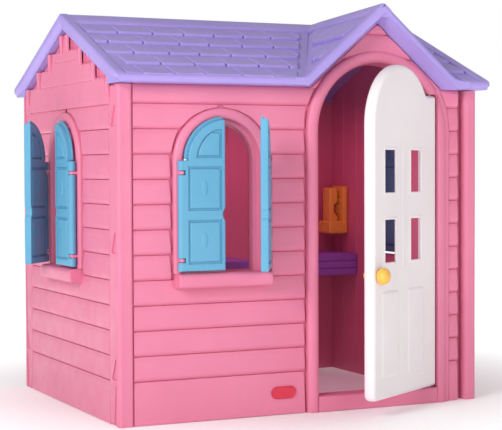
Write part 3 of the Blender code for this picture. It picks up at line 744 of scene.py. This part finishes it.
def slope_place(side):
    """Points on a main slope: s along X, t down from the ridge, h off the surface."""
    def place(s, t, h):
        y = MIDDLE_Y - side * (t * math.cos(SLOPE_ANGLE) + h * math.sin(SLOPE_ANGLE))
        return (s, y, RIDGE_TOP - t * math.sin(SLOPE_ANGLE) + h * math.cos(SLOPE_ANGLE))
    return place


def gable_place(side):
    """Points on a cross-gable slope: s along Y, t down from its ridge, h off the surface."""
    def place(s, t, h):
        ridge = gable_ridge(s)
        x = GABLE_X + side * (t * math.cos(GABLE_ANGLE) + h * math.sin(GABLE_ANGLE))
        return (x, s, ridge - t * math.sin(GABLE_ANGLE) + h * math.cos(GABLE_ANGLE))
    return place


def shingles(place, start, end, first, pitch, rows, lip=SHINGLE_LIP, width=0.104):
    """Staggered pillowed shingles, each a little different."""
    shape = Shape()
    for row in range(rows):
        low = first + row * pitch
        s = start - width * (0.0, 0.55, 0.2, 0.7, 0.35)[row % 5] + chance.uniform(-0.01, 0.01)
        while s < end:
            wide = width * chance.uniform(0.9, 1.1)
            a, b = max(s, start), min(s + wide - 0.003, end)
            if b - a > 0.03:
                tilt, lift = chance.uniform(-0.0016, 0.0016), chance.uniform(-0.0008, 0.0006)
                droop = chance.uniform(-0.004, 0.001)

                def top(u, v, tilt=tilt, lift=lift):
                    belly = -0.0012 * math.sin(math.pi * u)
                    return SHINGLE_TOP + (lip - SHINGLE_TOP) * v ** 0.9 + tilt * (u - 0.5) + lift + belly

                high = low + pitch - 0.002 + droop
                shape.pillow(place, a, b, low - 0.003, high, top, -SKIN - 0.002, 0.0055, 2, 3)
            s += wide
    return shape


def trimmed(piece, point, normal):
    """Cut a piece with a plane, keep what lies behind it, and close the cut."""
    work = bmesh.new()
    work.from_mesh(piece.data)
    geometry = work.verts[:] + work.edges[:] + work.faces[:]
    made = bmesh.ops.bisect_plane(work, geom=geometry, plane_co=point, plane_no=normal, clear_outer=True,
                                  dist=1e-6)
    edges = [e for e in made["geom_cut"] if isinstance(e, bmesh.types.BMEdge)]
    bmesh.ops.holes_fill(work, edges=edges, sides=0)
    bmesh.ops.recalc_face_normals(work, faces=work.faces)
    work.to_mesh(piece.data)
    work.free()
    return piece


def deck(side, x0, x1):
    """A slope's plain panel under its shingles, with a rounded eave."""
    def y_of(y):
        return MIDDLE_Y - side * (MIDDLE_Y - y)

    inner_eave = EAVE_TOP + SLOPE * (OVERHANG + WALL) - ROOF_DEPTH
    outline = arc((EAVE_Y + 0.009, EAVE_BOTTOM + 0.009), 0.009, 270, 180, 4)
    outline += arc((EAVE_Y + 0.0125, EAVE_TOP - 0.0085), 0.0125, 180, 115, 5)
    outline += [(EAVE_Y + 0.040, main_top(EAVE_Y + 0.040) - SKIN)]
    outline += [(RIDGE_Y, RIDGE_TOP - SKIN), (RIDGE_Y, RIDGE_TOP - ROOF_DEPTH)]
    outline += [(INSIDE_FRONT + ROOF_GAP, inner_eave), (INSIDE_FRONT + ROOF_GAP, EAVE_BOTTOM)]
    return Shape().loft([[(x, y_of(y), z) for y, z in outline] for x in (x0, x1)])


RAKE_WIDTH = 0.030
# Its section, as shares of its width and depth
RAKE_FORM = [(1.0, 0.10), (0.93, 0.05), (0.80, 0.0), (0.22, 0.0), (0.09, 0.03), (0.01, 0.10), (0.0, 0.20),
             (0.0, 0.42), (0.03, 0.52), (0.20, 0.68), (0.42, 0.86), (0.55, 0.96), (0.62, 1.0), (1.0, 1.0)]


def rake_bar(side, outer, hand, shape):
    """The rounded border along a gable end, undercut below; hand points inwards along X."""
    rings = []
    start = EAVE_Y + 0.014
    stations = [(EAVE_Y + 0.0005, 0.010), (EAVE_Y + 0.003, 0.0045), (EAVE_Y + 0.008, 0.001), (start, 0.0)]
    stations += [(start + (RIDGE_Y - start) * i / 6, 0.0) for i in range(1, 7)]
    for y, inset in stations:
        high = main_top(y) + 0.0025 - inset
        low = max(main_top(y) - ROOF_DEPTH - 0.001, EAVE_BOTTOM - 0.0005) + inset * 0.6
        first, wide = inset * 0.5, RAKE_WIDTH - inset * 0.5
        across = MIDDLE_Y - side * (MIDDLE_Y - y)
        rings.append([(outer + hand * (first + wide * d), across, high - (high - low) * f) for d, f in RAKE_FORM])
    shape.loft(rings)


def ridge_cap(side, x0, x1, shape):
    """Half of the rounded cap along the ridge."""
    place = slope_place(side)
    profile = mm([(0.6, -12), (0.6, -0.5), (3, 2), (12, 2.8), (50, 2.2), (58, 0.8), (62.5, -2.5),
                  (64.5, -7.5), (65, -12)])
    waves = int((x1 - x0) / 0.12)
    rings = []
    for i in range(waves + 1):
        x = x0 + (x1 - x0) * i / waves
        sink = chance.uniform(0.0, 0.0007)
        rings.append([place(x, t, h - (sink if h > 0 else 0)) for t, h in profile])
    shape.loft(rings)


def valley_planes():
    """For each side of the cross gable: a point on the valley and the direction away from the gable."""
    run = (GABLE_TOP - EAVE_TOP) / math.tan(GABLE_ANGLE)
    planes = {}
    for side in (-1, 1):
        foot, head = Vector((GABLE_X + side * run, EAVE_Y, 0)), Vector((GABLE_X, MIDDLE_Y, 0))
        along = (head - foot).normalized()
        away = Vector((along.y, -along.x, 0)) * side
        if away.x * side < 0:
            away = -away
        planes[side] = (foot, away)
    return planes


def gable_half_width(z, top):
    """Half the cross gable's width at a height, with its feet flared into the eave."""
    slope = math.tan(GABLE_ANGLE)
    foot = (top - EAVE_TOP) / slope
    tangent = GABLE_FILLET * math.tan(GABLE_ANGLE / 2)
    centre_x, centre_z = foot + tangent, EAVE_TOP + GABLE_FILLET
    if z < EAVE_TOP + GABLE_FILLET * (1 - math.cos(GABLE_ANGLE)):
        return centre_x - math.sqrt(max(GABLE_FILLET**2 - (centre_z - z) ** 2, 0.0))
    return (top - z) / slope


def gable_ridge(y):
    """The height of the cross gable's ridge, which sinks towards the main one."""
    return GABLE_TOP - (GABLE_TOP - RIDGE_TOP) * (y - EAVE_Y) / (MIDDLE_Y - EAVE_Y)


def cross_gable():
    """The gable roof over the door: rounded rake, raised border, hollow vault and bevelled soffit."""
    slope, rings = math.tan(GABLE_ANGLE), []
    stations = mm([(-0.8, 15), (1.5, 8.5), (5, 3.5), (11, 0.5), (18, 0), (40, 0), (43.5, 1), (45.5, 3.5)])
    stations = [(EAVE_Y + y, sink) for y, sink in stations] + [(EAVE_Y + 0.0465, SKIN)]
    stations += [(y, SKIN) for y in (INSIDE_FRONT, 0.07, 0.12, 0.17, 0.22, 0.27, 0.32, 0.345)]
    for y, sink in stations:
        peak = gable_ridge(y)
        foot = max(EAVE_TOP, main_top(y) - 0.014)
        bottom = EAVE_BOTTOM - 0.0006
        if y > INSIDE_FRONT - 0.001:
            bottom = max(EAVE_BOTTOM, main_top(y) - ROOF_DEPTH) - 0.0006
        share = min(max((y - EAVE_Y) / OVERHANG, 0), 1)
        vault = SOFFIT_FRONT + (SOFFIT_BACK - SOFFIT_FRONT) * share
        right = []
        for f in (0, 0.015, 0.04, 0.08, 0.13, 0.2, 0.3, 0.6, 0.93, 0.985):
            z = foot + (peak - foot) * f
            drop = sink / math.cos(GABLE_ANGLE) * min(f / 0.1, 1)
            right.append((gable_half_width(z, peak), z - drop))
        low, inner = min(sink, 0.008) * 0.6, max((vault - bottom) / slope, 0.004)
        outer = right[0][0]
        ring = [(outer, bottom + low)] + right + [(0.0, peak - 0.004 - sink)]
        ring += [(-x, z) for x, z in reversed(right)] + [(-outer, bottom + low), (-inner, bottom + low * 0.2)]
        ring += [(0.0, max(vault, bottom + 0.003)), (inner, bottom + low * 0.2)]
        rings.append([(GABLE_X + x, y, z) for x, z in ring])
    shape = Shape().loft(rings)
    rear = []
    for y in (0.330, 0.375, RIDGE_Y):
        peak, low = gable_ridge(y) - SKIN / math.cos(GABLE_ANGLE), main_top(y) - 0.024
        half = max((peak - low) / slope, 0.01)
        section = [(half, low), (0, peak), (-half, low), (0, low - 0.001)]
        rear.append([(GABLE_X + x, y, z) for x, z in section])
    shape.loft(rear)
    return shape


def gable_cap(shape):
    """The rounded cap over the cross gable's ridge."""
    sides = {s: gable_place(s) for s in (-1, 1)}
    profile = mm([(44, -12), (43.5, -6), (40, -1), (30, 1), (12, 1.5), (4, 0.5)])
    stations = [(EAVE_Y + y, inset) for y, inset in mm([(2, 8), (5, 3), (11, 0.5), (18, 0)])]
    stations += [(y, 0.0) for y in (0.05, 0.15, 0.25, 0.33)]
    stations += [(MIDDLE_Y - 0.03, 0.001), (MIDDLE_Y + 0.012, 0.009)]
    rings = []
    for y, inset in stations:
        ring = [sides[1](y, t, h - inset) for t, h in profile]
        rings.append(ring + [sides[-1](y, t, h - inset) for t, h in reversed(profile)])
    shape.loft(rings)


def trims(side, shape):
    """A slope's two rakes, its half of the ridge cap, and its tabs."""
    rake_bar(side, RAKE_LEFT, 1, shape)
    rake_bar(side, RAKE_RIGHT, -1, shape)
    ridge_cap(side, RAKE_LEFT + 0.006, RAKE_RIGHT - 0.006, shape)
    if side > 0:
        gable_cap(shape)
    for x in TAB_PLACES:
        tab(shape, x, -side)
    return shape


def main_rows(side, x0, x1):
    pitch = ((MIDDLE_Y - EAVE_Y) / math.cos(SLOPE_ANGLE) - ROW_START) / ROWS
    return shingles(slope_place(side), x0, x1, ROW_START, pitch, ROWS)


def roof():
    planes = valley_planes()
    left, right = RAKE_LEFT + RAKE_WIDTH + 0.003, RAKE_RIGHT - RAKE_WIDTH - 0.003

    left_deck = trimmed(deck(1, RAKE_LEFT + 0.010, GABLE_X).object("deck_left"), planes[-1][0], -planes[-1][1])
    right_deck = trimmed(deck(1, GABLE_X, RAKE_RIGHT - 0.010).object("deck_right"), planes[1][0], -planes[1][1])
    shell = join(left_deck, right_deck, cross_gable().object("gable"), trims(1, Shape()).object("trims"))
    finish(shell, LAVENDER, replaces=["roof_front"], smooth=45).name = "roof_front_shell"

    left_rows = main_rows(1, left, GABLE_X).object("left_rows")
    right_rows = main_rows(1, GABLE_X, right).object("right_rows")
    for piece, side in ((left_rows, -1), (right_rows, 1)):
        point, away = planes[side]
        trimmed(piece, point + away * 0.026, -away)
    gables = []
    for side in (-1, 1):
        point, away = planes[side]
        rows = shingles(gable_place(side), EAVE_Y + 0.051, MIDDLE_Y, 0.044, 0.106, 3, 0.0060)
        gables.append(trimmed(rows.object("gable_rows"), point - away * 0.016, away))
    join(left_rows, right_rows, *gables)
    finish(left_rows, LAVENDER, smooth=45).name = "roof_front_shingles"

    back = trims(-1, deck(-1, RAKE_LEFT + 0.010, RAKE_RIGHT - 0.010)).object("roof_back_shell")
    finish(back, LAVENDER, replaces=["roof_back"], smooth=45)
    rows = main_rows(-1, left, right).object("roof_back_shingles")
    finish(rows, LAVENDER, smooth=45)


def tab(shape, x, side):
    """A tab under the ridge for its screw."""
    near, far = MIDDLE_Y + side * ROOF_GAP, MIDDLE_Y + side * 0.0238
    low = RIDGE_TOP - ROOF_DEPTH - 0.045
    outline = rectangle(x - 0.03, low, x + 0.03, low + 0.066)
    shape.loft([[(s, y, z) for s, z in outline] for y in (near, far)])


# Door and shutters ----------------------------------------


def offset_outline(outline, distance):
    """Each point of an (s, t) outline moved inwards along its corner's bisector."""
    moved, count = [], len(outline)
    area = 0.0
    for (s0, t0), (s1, t1) in zip(outline, outline[1:] + outline[:1]):
        area += s0 * t1 - s1 * t0
    turn = 1 if area > 0 else -1
    for i in range(count):
        before, here, after = (Vector(outline[(i + k) % count]) for k in (-1, 0, 1))
        first, second = (here - before).normalized(), (after - here).normalized()
        n1, n2 = Vector((-first.y, first.x)) * turn, Vector((-second.y, second.x)) * turn
        both = n1 + n2
        if both.length < 1e-6:
            both = n1
        both.normalize()
        stretch = min(1 / max(both.dot(n1), 0.4), 2.2)
        moved.append(here + both * distance * stretch)
    return [tuple(p) for p in moved]


def leaf_solid(outline, hinge, thick, edge, hinge_radius, hand=-1):
    """A swinging leaf: its hinge side is fully round, its other edges are rounded over."""
    rings = []
    half = thick / 2
    for a in (-90, -68, -45, -20, 0, 20, 45, 68, 90):
        turn = math.radians(a)
        inset = edge * (1 - math.cos(turn))
        moved = offset_outline(outline, inset)
        ring = []
        for (s, t), (ms, mt), round_side in zip(outline, moved, hinge):
            if round_side:
                ring.append((hand * hinge_radius * math.cos(turn), half * math.sin(turn), mt))
            else:
                depth = math.copysign(half - edge + edge * abs(math.sin(turn)), a) if a else 0.0
                ring.append((ms, depth, mt))
        rings.append(ring)
    return Shape().loft(rings)


def mitred_rim(shape, place, low, high, profile):
    """A rim round a rectangle. Its section gives distance outwards and height."""
    rings = []
    for s, t in ((-1, -1), (1, -1), (1, 1), (-1, 1)):
        corner = (low[0] if s < 0 else high[0], low[1] if t < 0 else high[1])
        rings.append([place(corner[0] + s * r, corner[1] + t * r, h) for r, h in profile])
    shape.loft(rings, loop=True)


PANE_COLUMNS, PANE_ROWS, PANE_HALF = (-0.279, -0.121), ((0.443, 0.565), (0.643, 0.765)), 0.032


def door():
    left, spring, radius, head = -0.378, 0.835, 0.178, 0.930
    shoulder = math.degrees(math.asin((head - spring) / radius))
    outline = [(0.018, 0.050), (0.018, head), (-0.004, head)]
    hinge = [True, True, False]
    outline += arc((-0.200, spring), radius, shoulder, 180, 26) + [(left, 0.62), (left, 0.40), (left, 0.20)]
    outline += arc((left + 0.020, 0.070), 0.020, 180, 270, 6)
    hinge += [False] * (len(outline) - len(hinge))
    body = leaf_solid(outline, hinge, DOOR_THICK, 0.013, DOOR_THICK / 2, 1).object("door_leaf")
    panes = [(middle, low, high) for middle in PANE_COLUMNS for low, high in reversed(PANE_ROWS)]
    openings = Shape()
    for middle, low, high in panes:
        outline = rectangle(middle - PANE_HALF, low, middle + PANE_HALF, high)
        prism(lambda s, t, h: (s, -h, t), outline, -0.1, 0.1, openings)
    cut(body, openings)
    change(body, "DIFFERENCE", rounded_box((-0.336, -0.0135, 0.420), (-0.038, 0.05, 0.788), 0.012, 3))
    spindle = Shape()
    lathe(spindle, [(0.0083, -0.05), (0.0083, 0.05)], lambda x, y, h: (KNOB_X + x, h, KNOB_Z + y))
    cut(body, spindle)
    bevel(body, 0.0016, 2, 60)

    relief = Shape()
    for face in (-1, 1):
        def place(s, t, h, face=face):
            return (s, face * (DOOR_THICK / 2 + h), t)
        if face < 0:
            section = mm([(0.2, -3), (0.4, 0.6), (2.2, 1.8), (5, 1.9), (8, 0.6), (9.5, -2)])
            for middle, low, high in panes:
                mitred_rim(relief, place, (middle - PANE_HALF, low), (middle + PANE_HALF, high), section)
            relief.pillow(place, -0.2065, -0.1935, 0.425, 0.790, 0.0010, -0.002, 0.005, 1, 6)
        for middle in (-0.2795, -0.1205):
            relief.pillow(place, middle - 0.054, middle + 0.054, 0.112, 0.362,
                          lambda u, v: 0.0016 + 0.0010 * math.sin(math.pi * u), -0.002, 0.012, 4, 4)
    body = join(body, relief.object("relief"))
    body.matrix_world = DOOR_PLACE
    finish(body, WHITE, "door", ["door"], 45)

    outer = mm([(7.8, -30), (7.8, 0.3), (15, 0.3), (16.5, 3), (21.5, 5.5), (23.6, 11), (23.9, 18), (22.6, 24.5),
                (18.5, 29.5), (12, 32.2), (3, 33)])
    inner = mm([(13, 0.3), (13, 3), (12, 6.2), (9.5, 8.6), (6, 9.7), (2, 10)])
    for name, profile, side in (("door_knob_outer", outer, -1), ("door_knob_inner", inner, 1)):
        knob = Shape()
        lathe(knob, profile, lambda x, y, h, k=side: (KNOB_X + x, k * (DOOR_THICK / 2 + h), KNOB_Z + y), 20)
        piece = bevel(knob.object(f"{name}_grip"), 0.0010, 2, 40)
        piece.matrix_world = DOOR_PLACE
        finish(piece, YELLOW, "door", [name], 60)


LEAF_LOW, LEAF_SHOULDER, LEAF_WIDTH, LEAF_ARCH, LEAF_THICK = 0.427, 0.736, 0.129, 0.115, 0.022


def shutter(name, matrix, hand):
    """One leaf; its panels are sunk pockets with a raised field and a pointed oval."""
    x_hinge = -0.011
    outline, hinge = [], []

    def add(points, flag=False):
        for point in points:
            outline.append(point)
            hinge.append(flag)

    add([(x_hinge, LEAF_LOW)], True)
    for row in LUG_ROWS:
        add([(x_hinge, row - 0.0055)], True)
        add([(0.009, row - 0.0055), (0.009, row + 0.0055)])
        add([(x_hinge, row + 0.0055)], True)
    add([(x_hinge, LEAF_SHOULDER)], True)
    add([(0.004, LEAF_SHOULDER)])
    start = math.degrees(math.acos((LEAF_WIDTH - LEAF_AXIS) / LEAF_ARCH))
    add(list(reversed(arc((LEAF_AXIS, LEAF_SHOULDER), LEAF_ARCH, start, 180, 18))))
    scoop_x, angle = LEAF_WIDTH + 0.017, math.degrees(math.acos(0.017 / 0.024))
    add(list(arc((scoop_x, 0.585), 0.024, 180 - angle, 180 + angle, 10)))
    add([(LEAF_WIDTH, LEAF_LOW)])
    body = leaf_solid(outline, hinge, LEAF_THICK, 0.0035, 0.011).object(name + "_leaf")

    def left(t):
        """A pocket's left side; the upper pocket's follows the arch."""
        if t < LEAF_SHOULDER:
            return 0.016
        return LEAF_AXIS - math.sqrt((LEAF_ARCH - 0.022) ** 2 - (t - LEAF_SHOULDER) ** 2)

    right, margin = 0.119, 0.0056
    fields = [(0.447, 0.570, margin), (0.596, 0.719, margin), (0.743, 0.8225, 1.6 * margin)]
    relief = Shape()
    for face in (-1, 1):
        def place(s, t, h, f=face):
            return (s, f * (LEAF_THICK / 2 + h), t)

        pockets = Shape()
        for low, high, head in fields:
            steps = [low + (high - low) * i / 14 for i in range(15)]
            ring = [(left(t), t) for t in steps] + [(right, t) for t in reversed(steps)]
            prism(lambda s, t, h, f=face: (s, f * h, t), ring, LEAF_THICK / 2 - 0.0052, 0.03, pockets)
            relief.pillow(place, lambda t: left(max(min(t, high), low)) + margin, right - margin,
                          low + margin, high - head, -0.0002, -0.0056, 0.0032, 3, 6)
        cut(body, pockets)
        for centre in (0.513, 0.660):
            oval(relief, place, 0.0655, centre)
    section = mm([(108, 2), (122.5, 2), (123.5, 3), (123.5, 7), (122.5, 8), (108, 8)])
    flange = []
    for turn in range(94, 179, 6):
        along, up = math.cos(math.radians(turn)), math.sin(math.radians(turn))
        flange.append([(LEAF_AXIS + r * along, depth, LEAF_SHOULDER + r * up) for r, depth in section])
    relief.loft(flange)
    bevel(body, 0.0007, 2, 50)
    body = join(body, relief.object("relief"))
    if hand < 0:
        body.data.transform(Matrix.Scale(-1, 4, (1, 0, 0)))
        body.data.flip_normals()
    body.matrix_world = matrix
    finish(body, BLUE, name, [name], 45)


def oval(shape, place, middle, centre):
    """A small raised pointed oval."""
    def half(t):
        v = (t - centre) / 0.021
        return 0.0105 * max(1 - v * v, 0.0) ** 0.8 + 0.0004

    shape.pillow(place, lambda t: middle - half(t), lambda t: middle + half(t), centre - 0.021, centre + 0.021,
                 lambda u, v: 0.0012 * (0.4 + 0.6 * math.sin(math.pi * u)), -0.001, 0.003, 3, 8)


SHUTTERS = (
    ("front_shutter_left", 0, -1, 0), ("front_shutter_right", 0, 1, 60), ("left_shutter_rear", -90, -1, 41),
    ("left_shutter_front", -90, 1, 0), ("right_shutter_front", 90, -1, 0), ("right_shutter_rear", 90, 1, 0),
)


def shutters():
    centres = {0: (WINDOW_X, 0), -90: (LEFT - FRONT, SIDE_WINDOW_Y), 90: (RIGHT + FRONT, SIDE_WINDOW_Y)}
    for name, turn, side, opened in SHUTTERS:
        x, y = centres[turn]
        hinge = Vector((side * LEAF_AXIS, FRONT - LEAF_STANDOFF, 0))
        hinge.rotate(Matrix.Rotation(math.radians(turn), 3, "Z"))
        matrix = Matrix.Translation((x + hinge.x, y + hinge.y, 0))
        shutter(name, matrix @ Matrix.Rotation(math.radians(turn + side * opened), 4, "Z"), -side)


# Furniture ------------------------------------------------


def furniture():
    low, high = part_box("kitchen_counter")
    body = rounded_box((low.x, low.y, 0.393), (high.x, high.y, 0.420), 0.006)
    cut(body, prism(upright, rectangle(-0.40, 0.50, -0.16, 0.70), 0.3, 0.5))
    tub = rounded_box((-0.408, 0.492, 0.342), (-0.152, 0.708, 0.4185), 0.006)
    hollow = rounded_box((-0.400, 0.500, 0.350), (-0.160, 0.700, 0.5), 0.018)
    change(tub, "DIFFERENCE", hollow)
    rim = Shape()
    section = mm([(-1, 410), (-1, 421.5), (1, 423.5), (6, 423.5), (10, 420.5), (11, 412)])
    mitred_rim(rim, upright, (-0.40, 0.50), (-0.16, 0.70), section)
    hob = mm([(26, 419.5), (26, 422.5), (23.5, 424), (20, 424), (18, 422.5), (4, 422.2)])
    for x in (-0.095, -0.035):
        for y in (0.53, 0.66):
            lathe(rim, hob, lambda a, b, h, x=x, y=y: (x + a, y + b, h))
    join(body, tub, rim.object("rim"))
    finish(body, PURPLE, replaces=["kitchen_counter"], smooth=45).name = "kitchen_counter_top"

    low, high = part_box("corner_shelf")
    body = rounded_box(tuple(low), tuple(high), 0.007)
    hollow = rectangle(low.x + 0.010, low.y + 0.010, high.x - 0.010, high.y - 0.010)
    cut(body, prism(upright, hollow, 0.2, 0.410))
    lines = Shape()
    for z in (0.369, 0.394):
        profile = [(-0.001, z - 0.0035), (0.004, z), (-0.001, z + 0.0035)]
        lines.loft([[(x, low.y + d, q) for d, q in profile] for x in (low.x + 0.014, high.x + 0.01)])
    cut(body, lines)
    finish(body, PURPLE, replaces=["corner_shelf"], smooth=45).name = "corner_shelf_top"


def telephone():
    face, y = INSIDE_RIGHT - 0.0003, 0.735
    plate = rounded_box((face - 0.022, y - 0.045, 0.484), (face, y + 0.045, 0.651), 0.008)
    cradle = rounded_box((face - 0.075, y - 0.045, 0.484), (face - 0.010, y + 0.045, 0.529), 0.008)
    cut(cradle, prism(upright, rectangle(face - 0.066, y - 0.028, face - 0.030, y + 0.028), 0.496, 0.6))
    keys, key = Shape(), mm([(5.5, -2), (5.5, 2), (4.2, 3.2), (1.5, 3.5)])
    for row in range(4):
        for column in (-1, 0, 1):
            across, up = y + column * 0.019, 0.560 + row * 0.021
            lathe(keys, key, lambda a, b, h: (face - 0.022 - h, across + a, up + b), 14)
    join(plate, cradle, keys.object("keys"))
    finish(plate, YELLOW, replaces=["phone_base"], smooth=45).name = "phone_base_shell"

    low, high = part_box("phone_handset")
    near, far, bottom, top = low.x, high.x, low.z, high.z
    ear, neck = 0.048, 0.014
    outline = [(near, bottom), (far, bottom), (far, bottom + ear), (far - neck, bottom + ear + neck),
               (far - neck, top - ear - neck), (far, top - ear), (far, top), (near, top)]
    shape = Shape().loft([[(x, q, z) for x, z in outline] for q in (low.y, high.y)])
    shell = bevel(shape.object("phone_handset_shell"), 0.007, 3)
    finish(shell, YELLOW, "handset", ["phone_handset"], 45)


def badge():
    """A blank oval badge: a glossy field in a thin raised rim."""
    def stadium(r):
        points = arc((0.022, 0), r, -90, 90, 12) + arc((-0.022, 0), r, 90, 270, 12)
        return [(-0.079 + x, 0.065 + z) for x, z in points]

    section = mm([(16.5, 0.2), (17.8, 0.8), (18, 2.2), (17.2, 3), (16, 3), (15, 2.2), (14, 2)])
    plate = Shape().loft([[on_front(x, z, h) for x, z in stadium(r)] for r, h in section])
    finish(plate.object("name_badge_plate"), RED, replaces=["name_badge"], smooth=50)


# Scene ----------------------------------------------------


def carried_over():
    """The CAD fasteners stay as they are, with finished materials."""
    for name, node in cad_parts.items():
        if "screw" in name or "pin_" in name:
            surface = ZINC
        elif "peg" in name:
            surface = PINK
        else:
            continue
        for slot in node.material_slots:
            slot.material = surface


def studio():
    floor = prism(upright, rectangle(-9, -9, 9, 9), -0.02, -0.0005).object("floor")
    pale = plastic("floor_paper_painted_glow", (0.93, 0.93, 0.93), (0.91, 0.91, 0.91), (0.6, 0.7), 0.05, 0.0)
    nodes, links = pale.node_tree.nodes, pale.node_tree.links
    shader = nodes["Principled BSDF"]
    # Painted light: the floor glows white, faintly beside the house and more strongly further out (strength 0.10
    # at 0.5 m, rising to 0.74 at 1.6 m), so the far floor meets the white background.
    away = nodes.new("ShaderNodeVectorMath")
    away.operation = "DISTANCE"
    away.inputs[1].default_value = (0, MIDDLE_Y, 0)
    links.new(nodes.new("ShaderNodeTexCoord").outputs["Object"], away.inputs[0])
    glow = remap(pale.node_tree, away.outputs["Value"], (0.50, 1.60), (0.10, 0.74))
    shader.inputs["Emission Color"].default_value = (1, 1, 1, 1)
    links.new(glow, shader.inputs["Emission Strength"])
    floor.data.materials.append(pale)

    world = bpy.data.worlds.new("studio")
    bpy.context.scene.world = world
    world.use_nodes = True
    nodes, links = world.node_tree.nodes, world.node_tree.links
    shader = nodes["Background"]
    shader.inputs["Color"].default_value = (1.0, 1.0, 1.0, 1)
    seen = nodes.new("ShaderNodeLightPath").outputs["Is Camera Ray"]
    links.new(remap(world.node_tree, seen, (0, 1), (0.41, 1.0)), shader.inputs["Strength"])

    def area(name, place, size, power, target, hidden=False, colour=(1, 1, 1)):
        light = bpy.data.lights.new(name, "AREA")
        light.shape, light.size, light.energy, light.color = "DISK", size, power, colour
        holder = linked(name, light)
        holder.location = place
        holder.visible_camera = not hidden
        holder.rotation_mode = "QUATERNION"
        holder.rotation_quaternion = (Vector(target) - Vector(place)).to_track_quat("-Z", "Y")

    area("key", (-4.1, -2.5, 2.6), 2.0, 155, (0, 0.2, 0.6))
    area("fill", (0.6, -4.5, 1.3), 2.5, 36, (0.1, 0.4, 0.5))
    area("inside", (0.12, 0.40, 0.93), 0.5, 1.4, (0.12, 0.42, 0.0), hidden=True, colour=(1.0, 0.30, 0.46))


def camera():
    """The photograph's viewpoint."""
    yaw, pitch, roll = math.radians(25.31), math.radians(-1.82), math.radians(-0.215)
    forward = Vector((math.sin(yaw) * math.cos(pitch), math.cos(yaw) * math.cos(pitch), math.sin(pitch)))
    level = Vector((math.cos(yaw), -math.sin(yaw), 0))
    up = level.cross(forward)
    right = level * math.cos(roll) + up * math.sin(roll)
    up = right.cross(forward)
    data = bpy.data.cameras.new("camera")
    data.sensor_width, data.lens = 36, 105.7
    data.clip_start, data.clip_end = 0.05, 60
    holder = linked("camera", data)
    turn = Matrix((right, up, -forward)).transposed().to_4x4()
    holder.matrix_world = Matrix.Translation((-1.9785, -3.825, 0.714)) @ turn
    bpy.context.scene.camera = holder


front_wall()
back_wall()
side_wall(-1)
side_wall(1)
roof()
door()
shutters()
furniture()
telephone()
badge()
carried_over()
studio()
camera()
bpy.context.scene.view_settings.view_transform = "Standard"
